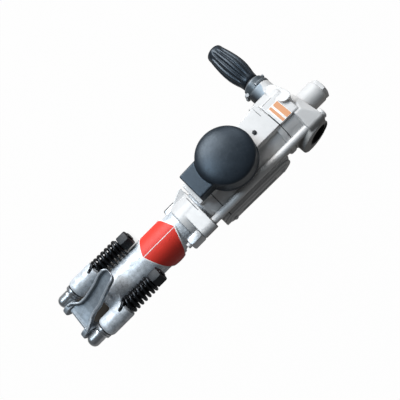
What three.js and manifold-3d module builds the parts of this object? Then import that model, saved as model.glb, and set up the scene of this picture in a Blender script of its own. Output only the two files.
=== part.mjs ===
// Hand-held pneumatic rock drill, lying with its exhaust muffler upwards. Millimetres, +Z up.
// The drill axis runs along X: the chuck points to -X and the air inlet to +X.
// The side grip points to +Y. Stations along X are counted from the cylinder's front face.
import * as THREE from 'three';
import { mergeVertices } from 'three/addons/utils/BufferGeometryUtils.js';
import Module from 'manifold-3d';

const wasm = await Module();
wasm.setup();

// Fits and cutting values
const seatGap = 0.3;
const overrun = 6;
const weldDistance = 0.0001;
const coarseSides = 12;
const mediumSides = 16;
const fineSides = 28;

// Cylinder casting
const boreRadius = 32.5;
const barrelWall = 8;
const cylinderLength = 175.5;
const frontWallLength = 12;
const frontBandLength = 18;
const frontBandRise = 6.5;
const padTopRise = 7.5;
const padFrontWidth = 44;
const padBackWidth = 56;
const padEdgeAcross = 12;
const padInset = 1.5;
const ledgeWidth = 4;
const ledgeDrop = 4;
const footRise = 7.5;
const footWidth = 36;
const footLength = 30;
const frontFootStation = 30;
const backFootInset = 51;
const rearFlangeLength = 9;
const rearFlangeReach = 56;
const rearFlangeCorner = 18;
const flangeGrooveWidth = 2;
const flangeGrooveDepth = 2;
const chestShoulder = 3.8;
const chestPocketLength = 42;

// Side rods that clamp the casings together
const rodRadius = 6.4;
const rodAcross = 40;
const rodUp = 26;
const rodNutLength = 24;
const rodNutFlats = 22;
const rodTipLength = 6;
const rodTipRadius = 4.5;
const rodHeadLength = 6.2;
const rodHeadRadius = 9;

// Front flange
const flangeGap = 3.7;
const flangeLength = 38;
const flangeRadius = 33;
const flangeLugRadius = 11.5;
const flangeLugLength = 26;
const flangeRibReach = 14;
const flangeRibThickness = 7;
const flangeRibTilt = 15;
const flangeRibTop = 3;
const flangeFootWidth = 28;
const spigotRadius = 27.5;
const spigotCollarRise = 2;
const spigotCollarLength = 14;

// Front head forging
const frontHeadLength = 176.5;
const headTubeRadius = 34.5;
const headNeckRadius = 31;
const headNeckLength = 23.7;
const headTaperLength = 7;
const noseRadius = 29.5;
const noseLength = 14;
const noseChamfer = 2.5;
const noseShoulderLength = 3.5;
const noseLipLength = 6;
const noseLipRadius = 20;
const headBoreRadius = 23;
const bossRadius = 16.7;
const bossLength = 47.1;
const bossOverhang = 21.6;
const bossChamfer = 3;
const bossAcross = 40.5;
const bossUp = 30.2;
const bossWebLength = 24;
const bossWebHeight = 20;
const keyholeLength = 9;
const keyholeRadius = 2.2;
const keyholeSlot = 1.2;

// Chuck and hammer
const hexFlats = 22.4;
const hexBushWall = 5.4;
const hexBushLength = 90;
const shankLength = 108;
const chuckTailBoreRadius = 16;
const chuckNutLength = 34;
const chuckNutStation = 24;
const guideBushLength = 27;
const spigotEngagement = 8;
const neckRadius = 14.5;
const fluteDepth = 2.2;
const fluteWidth = 5;
const fluteEndStation = 20;
const strokeLength = 60;
const pistonHeadLength = 45;
const pistonFrontClear = 4;
const pistonBoreRadius = 11;
const pistonGrooveDepth = 1.5;
const pistonGrooveWidth = 3;
const rifleNutLength = 16;
const rifleNutWall = 6;
const rifleRadius = 10;
const rifleGrooveDepth = 2;
const rifleLead = 864;
const rifleStepLength = 16;
const rifleShaftRadius = 8.7;

// Valve and ratchet
const valveChestLength = 19.7;
const valvePocketDepth = 7;
const valvePocketInner = 13;
const valvePocketOuter = 28;
const ringValveThickness = 4;
const valveCoverLength = 9.7;
const valvePortRadius = 2.5;
const valvePortCircle = 20;
const ratchetLength = 16.7;
const ratchetCrestRadius = 25;
const ratchetToothDepth = 2.6;
const ratchetTeeth = 20;
const ratchetRampShare = 0.85;
const pawlHeadRadius = 22;
const pawlHeadLength = 10.7;
const pawlThickness = 7;
const pawlPivotRadius = 17;
const pawlHeelRadius = 3.2;
const pawlNoseRadius = 1.4;
const pawlReach = 9.3;
const pawlSwing = 8;
const pawlSpringRadius = 1.6;
const pawlSpringLength = 4.2;
const trunnionRadius = 8;
const trunnionLength = 10.7;

// Retainer and its sprung bolts
const retainerBoltRadius = 7.5;
const boltHeadRadius = 11;
const boltHeadLength = 25.7;
const boltNoseShare = 0.35;
const boltCheekShare = 0.72;
const boltCheekLengthShare = 0.1;
const boltDomeLengthShare = 0.26;
const boltBackLengthShare = 0.14;
const collarLength = 9;
const collarRadius = 14;
const collarChamfer = 1.5;
const springLength = 56.6;
const springOuterRadius = 15.6;
const springWireRadius = 2.3;
const springCoils = 7;
const springSteps = 8;
const springSides = 5;
const retainerNutLength = 18.1;
const retainerNutFlats = 26;
const boltTailLength = 2.5;
const pinRadius = 6;
const pinInner = 22.4;
const pinOuter = 45;
const retainerBarrelRadius = 9.5;
const retainerEarRadius = 12.5;
const retainerEarWidth = 6.5;
const forkDepth = 39;
const forkHalfWidth = 20.5;
const forkFront = 3;
const forkBack = 6;
const forkSlotRadius = 13;
const armLength = 92;
const armRise = 26;
const armStart = 4;
const armFloor = 4.5;
const armFlangeHeight = 6;
const armFlangeWidth = 3.6;
const armSkew = 6.5;

// Side duct cover
const ductStation = 8;
const ductEndInset = 21;
const ductHeight = 38;
const ductCentreDrop = 9.5;
const ductSeatAcross = 47;
const ductPlateThickness = 2.6;
const ductRidgeThickness = 2.4;
const ductRidgeInset = 7;
const ductSlotHalf = 3.2;
const ductChannelDepth = 6;
const ductScrewRadius = 4;
const ductScrewHeight = 2.4;

// Exhaust spigot and muffler cap
const mufflerStation = 79;
const mufflerAcross = 5;
const spigotOuterRadius = 27;
const spigotBoreRadius = 20;
const spigotHeight = 14;
const spigotLipRise = 2.5;
const spigotLipHeight = 5;
const capRadius = 47.5;
const capLift = 2;
const capFloor = 6.7;
const capWallHeight = 28;
const capDomeHeight = 12;
const capWall = 5;
const domeShares = [0, 0.25, 0.5, 0.72, 0.88, 1];
const spoutReach = 72;
const spoutWidth = 47;
const spoutHeight = 24;
const spoutOffset = 5;
const spoutLift = 2;
const spoutWall = 4;

// Back head casting
const headLength = 57;
const headBodyLength = 40;
const headRoundRadius = 43;
const headTopRise = 46;
const headSideReach = 56;
const headCorner = 14;
const handleSetback = 32.7;
const handleBossRadius = 26;
const socketRadius = 30;
const socketBoreRadius = 20;
const socketReach = 58;
const socketRingLength = 18;
const socketDepth = 28;
const socketWeb = 6;
const neckOuterRadius = 22;
const neckReach = 74.5;
const tongueHalfWidth = 11.5;
const tongueRise = 50;
const tongueOffset = 2;
const tongueEnd = 18;
const tongueSlopeStart = 8;
const tongueLowRise = 26;
const headLugLead = 7;
const headLugRadius = 12.5;
const inletBossRadius = 28;
const headFootWidth = 40;
const airPassageRadius = 5;
const airPassageAcross = 24;

// Throttle and side handle
const spoolRadius = 12;
const spoolStemRadius = 10.5;
const spoolPortRadius = 5;
const throttleCollarRadius = 20;
const throttleCollarLength = 16.7;
const collarLipRise = 3;
const collarLipLength = 5.5;
const collarEarReach = 27.5;
const collarEarWidth = 10;
const collarEarLength = 7;
const collarSlit = 2.4;
const collarHookReach = 24;
const collarHookWidth = 8;
const collarHookLength = 5;
const pinchBoltRadius = 2;
const pinchHeadRadius = 3.6;
const pinchHeadLength = 3.6;
const handleBarRadius = 10.7;
const handleStudRadius = 7;
const handleTipWall = 8;
const handleShoulderRadius = 15.5;
const handleShoulderLength = 3.4;
const handleNutLength = 8;
const handleNutFlats = 22;
const gripLength = 96;
const gripBaseRadius = 15.9;
const gripBellyRadius = 21.4;
const gripTipRadius = 15.5;
const gripRibDepth = 1.7;
const gripRibs = 13;

// Air inlet
const inletTubeRadius = 20.35;
const inletTubeReach = 36.7;
const inletHexLength = 7.5;
const inletHexFlats = 35;
const inletBoreRadius = 9.5;
const inletSpigotRadius = 16.7;
const inletSpoolClear = 1.5;
const inletSpigotLength = 2;
const inletFlangeRise = 2.6;
const inletFlangeLength = 3.4;
const oilPlugInset = 36;
const oilPlugAcross = 8.5;
const oilPlugRadius = 3.4;
const oilPlugHeight = 1.6;

// Stations and radii worked out from the sizes above
const backFootStation = cylinderLength - backFootInset;
const chestPocketStation = cylinderLength - chestPocketLength;
const ductLength = cylinderLength - ductStation - ductEndInset;
const oilPlugStation = cylinderLength - oilPlugInset;
const barrelRadius = boreRadius + barrelWall;
const floorDrop = barrelRadius + footRise;
const padTop = barrelRadius + padTopRise;
const chestRadius = boreRadius + chestShoulder;
const bandRadius = barrelRadius + frontBandRise;
const rodHoleRadius = rodRadius + seatGap;
const flangeBack = -flangeGap;
const flangeFront = flangeBack - flangeLength;
const flangeLugFront = flangeBack - flangeLugLength;
const neckBack = flangeFront - seatGap;
const noseFront = neckBack - frontHeadLength;
const bossFront = noseFront - bossOverhang;
const bossBack = bossFront + bossLength;
const boltFace = bossFront - collarLength;
const boltFront = boltFace - boltHeadLength;
const pivotStation = (boltFace + boltFront) / 2;
const nutFront = bossBack + springLength;
const nutBack = nutFront + retainerNutLength;
const earReach = bossAcross - boltHeadRadius - seatGap;
const chuckFront = noseFront + noseLipLength;
const chuckRadius = headBoreRadius - seatGap;
const hexCornerRadius = hexFlats / Math.sqrt(3);
const hexBushRadius = hexCornerRadius + hexBushWall;
const hexBushBack = chuckFront + hexBushLength;
const guideBack = spigotEngagement;
const guideFront = guideBack - guideBushLength;
const chuckBack = guideFront - seatGap;
const chuckNutBack = -chuckNutStation;
const chuckNutFront = chuckNutBack - chuckNutLength;
const pistonTip = chuckFront + shankLength + seatGap;
const pistonHeadFront = frontWallLength + pistonFrontClear;
const pistonBack = pistonHeadFront + pistonHeadLength;
const rifleNutFront = pistonBack - rifleNutLength;
const rifleNutRadius = rifleRadius + rifleNutWall;
const rifleTip = rifleNutFront - seatGap;
const pistonBoreEnd = rifleTip - strokeLength - seatGap;
const chestFront = chestPocketStation + seatGap;
const chestBack = chestFront + valveChestLength;
const coverFront = chestBack + seatGap;
const coverBack = coverFront + valveCoverLength;
const ratchetFront = coverBack + seatGap;
const ratchetBack = ratchetFront + ratchetLength;
const pawlHeadFront = coverBack + seatGap;
const pawlHeadBack = pawlHeadFront + pawlHeadLength;
const headFront = cylinderLength + seatGap;
const headBack = headFront + headLength;
const headBodyBack = headFront + headBodyLength;
const handleStation = headFront + handleSetback;
const tongueStation = handleStation + tongueOffset;
const headLugStation = handleStation - headLugLead;
const inletTubeEnd = headBack + inletTubeReach;
const spoolBack = -socketReach + socketDepth + socketWeb + seatGap;
const collarStart = neckReach + seatGap;
const collarEnd = collarStart + throttleCollarLength;
const earStart = collarStart + collarSlit;
const pinchBoltPlace = [-(collarEarReach + throttleCollarRadius) / 2, earStart + collarEarLength / 2, 0];
const handleShoulder = collarEnd + seatGap;
const gripStart = handleShoulder + handleShoulderLength + seatGap;
const handleBarTip = gripStart + gripLength - handleTipWall;
const inletSpigotStation = handleStation + spoolRadius + inletSpoolClear;
const inletFlangeStation = inletSpigotStation + inletSpigotLength;
const spigotTop = padTop + spigotHeight;
const capBottom = padTop + capLift;
const capTop = capBottom + capWallHeight + capDomeHeight;

// Bare geometry whose shared corners are merged and whose faces point outwards
function closed(geometry) {
  geometry.deleteAttribute('normal');
  geometry.deleteAttribute('uv');
  const merged = mergeVertices(geometry, weldDistance);
  const corners = merged.index.array;
  const kept = [];
  for (let i = 0; i < corners.length; i += 3) {
    const [a, b, c] = [corners[i], corners[i + 1], corners[i + 2]];
    if (a !== b && b !== c && a !== c) kept.push(a, b, c);
  }
  merged.setIndex(kept);
  if (signedVolume(merged) < 0) {
    for (let i = 0; i < kept.length; i += 3) [kept[i], kept[i + 1]] = [kept[i + 1], kept[i]];
    merged.setIndex(kept);
  }
  return merged;
}

function signedVolume(geometry) {
  const places = geometry.attributes.position;
  const corners = geometry.index.array;
  const [a, b, c] = [new THREE.Vector3(), new THREE.Vector3(), new THREE.Vector3()];
  let volume = 0;
  for (let i = 0; i < corners.length; i += 3) {
    a.fromBufferAttribute(places, corners[i]);
    b.fromBufferAttribute(places, corners[i + 1]);
    c.fromBufferAttribute(places, corners[i + 2]);
    volume += a.dot(b.cross(c)) / 6;
  }
  return volume;
}

function toSolid(geometry) {
  const vertProperties = new Float32Array(geometry.attributes.position.array);
  const triVerts = new Uint32Array(geometry.index.array);
  return new wasm.Manifold(new wasm.Mesh({ numProp: 3, vertProperties, triVerts }));
}

function fromSolid(solid) {
  const mesh = solid.getMesh();
  const geometry = new THREE.BufferGeometry();
  const places = new THREE.BufferAttribute(new Float32Array(mesh.vertProperties), 3);
  geometry.setAttribute('position', places);
  geometry.setIndex(Array.from(mesh.triVerts));
  return geometry;
}

function join(first, ...others) {
  return fromSolid(others.reduce((whole, other) => whole.add(toSolid(other)), toSolid(first)));
}

function cut(first, ...others) {
  return fromSolid(others.reduce((whole, other) => whole.subtract(toSolid(other)), toSolid(first)));
}

function keep(first, other) {
  return fromSolid(toSolid(first).intersect(toSolid(other)));
}

function moved(geometry, x, y, z) {
  return geometry.clone().translate(x, y, z);
}

function degrees(angle) {
  return THREE.MathUtils.degToRad(angle);
}

// A revolve. The profile lists [place along the axis, radius] and closes on itself or on the axis.
function turned(profile, sides = fineSides, axis = 'x') {
  const points = profile.map(([along, radius]) => new THREE.Vector2(radius, along));
  const opensOnAxis = profile[0][1] === 0 && profile[profile.length - 1][1] === 0;
  if (!opensOnAxis) points.push(points[0].clone());
  const geometry = new THREE.LatheGeometry(points, sides);
  if (axis === 'x') geometry.rotateZ(-Math.PI / 2);
  if (axis === 'z') geometry.rotateX(Math.PI / 2);
  return closed(geometry);
}

function rod(from, to, radius, sides = mediumSides, axis = 'x') {
  return turned([[from, 0], [from, radius], [to, radius], [to, 0]], sides, axis);
}

function ring(from, to, outer, inner, sides = fineSides, axis = 'x') {
  return turned([[from, inner], [from, outer], [to, outer], [to, inner]], sides, axis);
}

function block(x0, x1, y0, y1, z0, z1) {
  const geometry = new THREE.BoxGeometry(x1 - x0, y1 - y0, z1 - z0);
  return closed(geometry.translate((x0 + x1) / 2, (y0 + y1) / 2, (z0 + z1) / 2));
}

// An extruded outline. Its plane is YZ for the x axis, XZ for y and XY for z.
function plate(shape, from, to, axis, bevel = 0) {
  const geometry = new THREE.ExtrudeGeometry(shape, {
    depth: to - from - 2 * bevel,
    bevelEnabled: bevel > 0,
    bevelThickness: bevel,
    bevelSize: bevel,
    bevelOffset: -bevel,
    bevelSegments: 1,
    curveSegments: 8,
  });
  geometry.translate(0, 0, bevel);
  const x = new THREE.Vector3(1, 0, 0);
  const y = new THREE.Vector3(0, 1, 0);
  const z = new THREE.Vector3(0, 0, 1);
  const bases = { x: [y, z, x], y: [x, z, y.clone().negate()], z: [x, y, z] };
  const starts = { x: [from, 0, 0], y: [0, to, 0], z: [0, 0, from] };
  geometry.applyMatrix4(new THREE.Matrix4().makeBasis(...bases[axis]));
  return closed(geometry.translate(...starts[axis]));
}

// The convex outline round a set of circles, each given as [u, v, radius]
function hullShape(circles, sides = mediumSides) {
  const points = [];
  for (const [u, v, radius] of circles) {
    for (let i = 0; i < sides; i += 1) {
      const turn = (2 * Math.PI * i) / sides;
      points.push([u + radius * Math.cos(turn), v + radius * Math.sin(turn)]);
    }
  }
  points.sort((a, b) => a[0] - b[0] || a[1] - b[1]);
  const side = (o, a, b) => (a[0] - o[0]) * (b[1] - o[1]) - (a[1] - o[1]) * (b[0] - o[0]);
  const half = (ordered) => {
    const chain = [];
    for (const point of ordered) {
      while (chain.length > 1 && side(chain.at(-2), chain.at(-1), point) <= 0) chain.pop();
      chain.push(point);
    }
    chain.pop();
    return chain;
  };
  const outline = [...half(points), ...half([...points].reverse())];
  return new THREE.Shape(outline.map(([u, v]) => new THREE.Vector2(u, v)));
}

function polygonShape(points) {
  return new THREE.Shape(points.map(([u, v]) => new THREE.Vector2(u, v)));
}

function hexShape(flats, grow = 0) {
  const corner = (flats / 2 + grow) / Math.cos(Math.PI / 6);
  const points = [];
  for (let i = 0; i < 6; i += 1) {
    const turn = (i * Math.PI) / 3;
    points.push([corner * Math.cos(turn), corner * Math.sin(turn)]);
  }
  return polygonShape(points);
}

// A hexagon with turned corners, as a nut or a bolt head has
function hexPiece(from, to, flats, chamfer, axis = 'x') {
  const corner = flats / 2 / Math.cos(Math.PI / 6);
  const turnedBlank = turned([
    [from, 0],
    [from, corner - chamfer],
    [from + chamfer, corner],
    [to - chamfer, corner],
    [to, corner - chamfer],
    [to, 0],
  ], mediumSides, axis);
  return keep(plate(hexShape(flats), from, to, axis), turnedBlank);
}

// A solid skinned over rings that all hold the same number of points
function lofted(rings) {
  const count = rings[0].length;
  const places = rings.flat().flatMap((point) => [point.x, point.y, point.z]);
  const corners = [];
  for (let r = 0; r + 1 < rings.length; r += 1) {
    for (let i = 0; i < count; i += 1) {
      const [a, b] = [r * count + i, r * count + ((i + 1) % count)];
      corners.push(a, b, b + count, a, b + count, a + count);
    }
  }
  const capOf = (points) => {
    const middle = new THREE.Vector3();
    for (const point of points) middle.addScaledVector(point, 1 / count);
    const normal = new THREE.Vector3();
    points.forEach((point, i) => {
      const next = points[(i + 1) % count].clone().sub(middle);
      normal.add(point.clone().sub(middle).cross(next));
    });
    normal.normalize();
    const across = points[0].clone().sub(middle);
    across.addScaledVector(normal, -across.dot(normal)).normalize();
    const up = normal.clone().cross(across);
    const flat = points.map((point) => {
      const arm = point.clone().sub(middle);
      return new THREE.Vector2(arm.dot(across), arm.dot(up));
    });
    return THREE.ShapeUtils.triangulateShape(flat, []);
  };
  for (const [a, b, c] of capOf(rings[0])) corners.push(c, b, a);
  const last = (rings.length - 1) * count;
  for (const [a, b, c] of capOf(rings.at(-1))) corners.push(last + a, last + b, last + c);
  const geometry = new THREE.BufferGeometry();
  geometry.setAttribute('position', new THREE.BufferAttribute(new Float32Array(places), 3));
  geometry.setIndex(corners);
  return closed(geometry);
}

// An extruded outline whose points turn about the X axis as they go, like a rifled bar
function twisted(shape, from, to, lead, stepLength) {
  const outline = shape.getPoints();
  const steps = Math.ceil((to - from) / stepLength);
  const rings = [];
  for (let i = 0; i <= steps; i += 1) {
    const along = from + ((to - from) * i) / steps;
    const turn = (2 * Math.PI * along) / lead;
    rings.push(outline.map((point) => new THREE.Vector3(
      along,
      point.x * Math.cos(turn) - point.y * Math.sin(turn),
      point.x * Math.sin(turn) + point.y * Math.cos(turn),
    )));
  }
  return lofted(rings);
}

// Front head: the bare steel forging that guides the chuck and carries the retainer bolts
function frontHead() {
  const tubeFront = noseFront + noseLength + noseShoulderLength;
  const tubeBack = neckBack - headNeckLength - headTaperLength;
  const outside = turned([
    [noseFront, 0],
    [noseFront, noseRadius - noseChamfer],
    [noseFront + noseChamfer, noseRadius],
    [noseFront + noseLength, noseRadius],
    [tubeFront, headTubeRadius],
    [tubeBack, headTubeRadius],
    [tubeBack + headTaperLength, headNeckRadius],
    [neckBack, headNeckRadius],
    [neckBack, spigotRadius],
    [flangeBack - spigotCollarLength, spigotRadius],
    [flangeBack - spigotCollarLength, spigotRadius + spigotCollarRise],
    [-seatGap, spigotRadius + spigotCollarRise],
    [-seatGap, spigotRadius],
    [spigotEngagement, spigotRadius],
    [spigotEngagement, 0],
  ]);
  const bosses = [-1, 1].map((side) => moved(turned([
    [bossFront, 0],
    [bossFront, bossRadius - bossChamfer / 2],
    [bossFront + bossChamfer, bossRadius],
    [bossBack, bossRadius],
    [bossBack, 0],
  ], mediumSides), 0, side * bossAcross, bossUp));
  const web = block(noseFront + bossChamfer, noseFront + bossWebLength,
    -bossAcross, bossAcross, bossUp - bossWebHeight, bossUp);
  const keyhole = hullShape([[0, 0, keyholeSlot], [keyholeLength, 0, keyholeSlot]], 8);
  const keyholes = [-1, 1].flatMap((side) => {
    const slot = plate(keyhole, bossUp, bossUp + bossRadius + overrun, 'z');
    const eye = rod(bossUp, bossUp + bossRadius + overrun, keyholeRadius, 12, 'z');
    return [slot, eye].map((solid) => moved(solid, bossBack - keyholeLength, side * bossAcross, 0));
  });
  const boltHoles = [-1, 1].map((side) => moved(
    rod(bossFront - overrun, bossBack + overrun, retainerBoltRadius + seatGap),
    0, side * bossAcross, bossUp));
  return cut(
    join(outside, ...bosses, web),
    rod(noseFront - overrun, noseFront + overrun, noseLipRadius, fineSides),
    rod(noseFront + noseLipLength - seatGap, spigotEngagement + overrun, headBoreRadius, fineSides),
    ...boltHoles,
    ...keyholes,
  );
}

// Chuck: the turning sleeve, its hexagon bush for the drill steel and its fluted nut
function chuckSleeve() {
  return turned([
    [chuckFront, hexBushRadius + seatGap],
    [chuckFront, chuckRadius],
    [chuckBack, chuckRadius],
    [chuckBack, hexBushRadius],
    [chuckNutFront - seatGap, hexBushRadius],
    [chuckNutFront - seatGap, chuckTailBoreRadius],
    [hexBushBack + seatGap, chuckTailBoreRadius],
    [hexBushBack + seatGap, hexBushRadius + seatGap],
  ]);
}

function hexBush() {
  return cut(rod(chuckFront, hexBushBack, hexBushRadius, fineSides),
    plate(hexShape(hexFlats), chuckFront - overrun, hexBushBack + overrun, 'x'));
}

// The outline of the hammer's fluted neck, grown by a clearance for its nut
function flutedNeck(from, to, clearance) {
  const core = rod(from, to, neckRadius + clearance, mediumSides);
  const half = fluteWidth / 2 - clearance;
  const flutes = [0, 1, 2, 3].map((i) => {
    const floor = neckRadius - fluteDepth + clearance;
    const flute = block(from - overrun, to + overrun, -half, half, floor, neckRadius + overrun);
    return flute.rotateX((i * Math.PI) / 2);
  });
  return cut(core, ...flutes);
}

function chuckNut() {
  return cut(rod(chuckNutFront, chuckNutBack, hexBushRadius - seatGap, mediumSides),
    flutedNeck(chuckNutFront - overrun, chuckNutBack + overrun, seatGap));
}

function guideBush() {
  return ring(guideFront, guideBack, headBoreRadius - seatGap, neckRadius + seatGap);
}

// Hammer: fluted neck, head with two oil grooves, and the bore that swallows the rifle bar
function piston() {
  const grooveOne = pistonHeadFront + pistonHeadLength / 3;
  const grooveTwo = pistonHeadFront + (2 * pistonHeadLength) / 3;
  const headRadius = boreRadius - seatGap;
  const groove = (start) => [
    [start, headRadius],
    [start, headRadius - pistonGrooveDepth],
    [start + pistonGrooveWidth, headRadius - pistonGrooveDepth],
    [start + pistonGrooveWidth, headRadius],
  ];
  const head = turned([
    [pistonHeadFront, 0],
    [pistonHeadFront, headRadius],
    ...groove(grooveOne),
    ...groove(grooveTwo),
    [pistonBack, headRadius],
    [pistonBack, 0],
  ]);
  const plain = rod(-fluteEndStation, pistonHeadFront + overrun, neckRadius, mediumSides);
  return cut(join(flutedNeck(pistonTip, -fluteEndStation + seatGap, 0), plain, head),
    rod(pistonBoreEnd, pistonBack + overrun, pistonBoreRadius, coarseSides),
    rod(rifleNutFront - seatGap, pistonBack + overrun, rifleNutRadius + seatGap, mediumSides));
}

// Rifling: a round bar with four helical grooves, which the nut follows with a clearance
function rifleShape(clearance) {
  const outer = rifleRadius + clearance;
  const inner = rifleRadius - rifleGrooveDepth + clearance;
  const points = [];
  for (let i = 0; i < 16; i += 1) {
    const radius = i % 4 < 2 ? outer : inner;
    const turn = (i * Math.PI) / 8;
    points.push([radius * Math.cos(turn), radius * Math.sin(turn)]);
  }
  return polygonShape(points);
}

function rifleNut() {
  return cut(rod(rifleNutFront, pistonBack, rifleNutRadius, mediumSides),
    twisted(rifleShape(seatGap), rifleNutFront - overrun, pistonBack + overrun, rifleLead, rifleStepLength));
}

// One pawl's outline in YZ, swung about its pivot by an angle
function pawlCircles(clearance, angle) {
  const noseCircle = ratchetCrestRadius - seatGap - pawlNoseRadius;
  const tipY = Math.sqrt(noseCircle ** 2 - pawlReach ** 2) - pawlPivotRadius;
  const turn = degrees(angle);
  return [
    [pawlPivotRadius, 0, pawlHeelRadius + clearance],
    [
      pawlPivotRadius + tipY * Math.cos(turn) - pawlReach * Math.sin(turn),
      tipY * Math.sin(turn) + pawlReach * Math.cos(turn),
      pawlNoseRadius + clearance,
    ],
  ];
}

function pawlPocket(index) {
  const swept = [...pawlCircles(seatGap, 0), ...pawlCircles(seatGap, pawlSwing)];
  const opened = swept.map(([u, v, radius]) => [u + overrun, v, radius]);
  const front = pawlHeadFront + (pawlHeadLength - pawlThickness) / 2 - seatGap;
  const pocket = plate(hullShape([...swept, ...opened], 12), front, front + pawlThickness + 2 * seatGap, 'x');
  return pocket.rotateX((index * Math.PI) / 2);
}

function pawl(index) {
  const front = pawlHeadFront + (pawlHeadLength - pawlThickness) / 2;
  const upright = plate(hullShape(pawlCircles(0, 0), 12), front, front + pawlThickness, 'x');
  return upright.rotateX((index * Math.PI) / 2);
}

// The short push spring under each pawl's nose, in its drilled hole
function pawlSpring(index, clearance = 0, reach = 0) {
  const nose = pawlCircles(0, 0)[1];
  const lowEdgeShare = (nose[1] - nose[2] - pawlSpringRadius) / nose[1];
  const heelEdge = pawlPivotRadius - pawlHeelRadius;
  const seat = heelEdge + (nose[0] - nose[2] - heelEdge) * lowEdgeShare - seatGap;
  const middle = pawlHeadFront + pawlHeadLength / 2;
  const low = seat - pawlSpringLength - clearance;
  const spring = rod(low, seat + reach, pawlSpringRadius + clearance, 8, 'y');
  return moved(spring, middle, 0, nose[1] - nose[2]).rotateX((index * Math.PI) / 2);
}

const pawlIndices = [0, 1, 2, 3];

// Rifle bar: rifled shank, plain shaft through the valve, pawl carrier and end journal
function rifleBar() {
  const shaft = turned([
    [chestFront - overrun, 0],
    [chestFront - overrun, rifleShaftRadius],
    [pawlHeadFront, rifleShaftRadius],
    [pawlHeadFront, pawlHeadRadius],
    [pawlHeadBack, pawlHeadRadius],
    [pawlHeadBack, trunnionRadius],
    [pawlHeadBack + trunnionLength, trunnionRadius],
    [pawlHeadBack + trunnionLength, 0],
  ]);
  const rifled = twisted(rifleShape(0), rifleTip, chestFront - overrun / 2, rifleLead, rifleStepLength);
  return cut(join(shaft, rifled), ...pawlIndices.map(pawlPocket),
    ...pawlIndices.map((index) => pawlSpring(index, seatGap, overrun)));
}

// Ratchet ring with sawtooth internal teeth
function ratchetRing() {
  const teeth = [];
  for (let i = 0; i < ratchetTeeth; i += 1) {
    const start = (2 * Math.PI * i) / ratchetTeeth;
    const rise = start + (ratchetRampShare * 2 * Math.PI) / ratchetTeeth;
    const root = ratchetCrestRadius + ratchetToothDepth;
    teeth.push([ratchetCrestRadius * Math.cos(start), ratchetCrestRadius * Math.sin(start)]);
    teeth.push([root * Math.cos(rise), root * Math.sin(rise)]);
  }
  return cut(rod(ratchetFront, ratchetBack, chestRadius - seatGap, fineSides),
    plate(polygonShape(teeth), ratchetFront - overrun, ratchetBack + overrun, 'x'));
}

// Valve chest, the ring valve that shuttles in it, and the cover with its air ports
function valveChest() {
  const barBore = rifleRadius + seatGap;
  return turned([
    [chestFront, barBore],
    [chestFront, chestRadius - seatGap],
    [chestBack, chestRadius - seatGap],
    [chestBack, valvePocketOuter],
    [chestBack - valvePocketDepth, valvePocketOuter],
    [chestBack - valvePocketDepth, valvePocketInner],
    [chestBack, valvePocketInner],
    [chestBack, barBore],
  ]);
}

function ringValve() {
  const front = chestBack - valvePocketDepth + seatGap;
  const back = front + ringValveThickness;
  return ring(front, back, valvePocketOuter - seatGap, valvePocketInner + seatGap);
}

function valveCover() {
  const ports = [0, 1, 2, 3, 4, 5].map((i) => {
    const port = rod(coverFront - overrun, coverBack + overrun, valvePortRadius, 10);
    return moved(port, 0, 0, valvePortCircle).rotateX((i * Math.PI) / 3);
  });
  return cut(ring(coverFront, coverBack, chestRadius - seatGap, rifleRadius + seatGap), ...ports);
}

// Front flange: painted collar with two lugs for the side rods and a stiffening rib
function frontFlange() {
  const collar = rod(flangeFront, flangeBack, flangeRadius, fineSides);
  const lugs = plate(hullShape([
    [-rodAcross, rodUp, flangeLugRadius],
    [0, 0, flangeRadius - seatGap],
    [rodAcross, -rodUp, flangeLugRadius],
  ]), flangeLugFront, flangeBack, 'x', padInset);
  const foot = block(flangeLugFront + padInset, flangeBack - padInset,
    -flangeFootWidth / 2, flangeFootWidth / 2, -floorDrop, 0);
  const rib = plate(polygonShape([
    [flangeFront + padInset, 0],
    [flangeBack - padInset, 0],
    [flangeBack - padInset, flangeRadius + flangeRibReach],
    [flangeBack - padInset - flangeRibTop, flangeRadius + flangeRibReach],
    [flangeFront + padInset, flangeRadius - seatGap],
  ]), -flangeRibThickness / 2, flangeRibThickness / 2, 'y').rotateX(degrees(flangeRibTilt - 90));
  const rodHoles = [-1, 1].map((side) => moved(
    rod(flangeFront - overrun, flangeBack + overrun, rodHoleRadius, coarseSides),
    0, side * rodAcross, -side * rodUp));
  const counterbore = rod(flangeBack - spigotCollarLength - seatGap, flangeBack + overrun,
    spigotRadius + spigotCollarRise + seatGap, fineSides);
  return cut(join(collar, lugs, foot, rib),
    rod(flangeFront - overrun, flangeBack + overrun, spigotRadius + seatGap, fineSides),
    counterbore, ...rodHoles);
}

// The outline shared by the rear flange and the back head: round on one side, square on the other
function rearShape(round, side, rise, corner) {
  return hullShape([
    [0, 0, round],
    [side - corner, rise - corner, corner],
    [side - corner, corner - rise, corner],
  ], fineSides);
}

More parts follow.
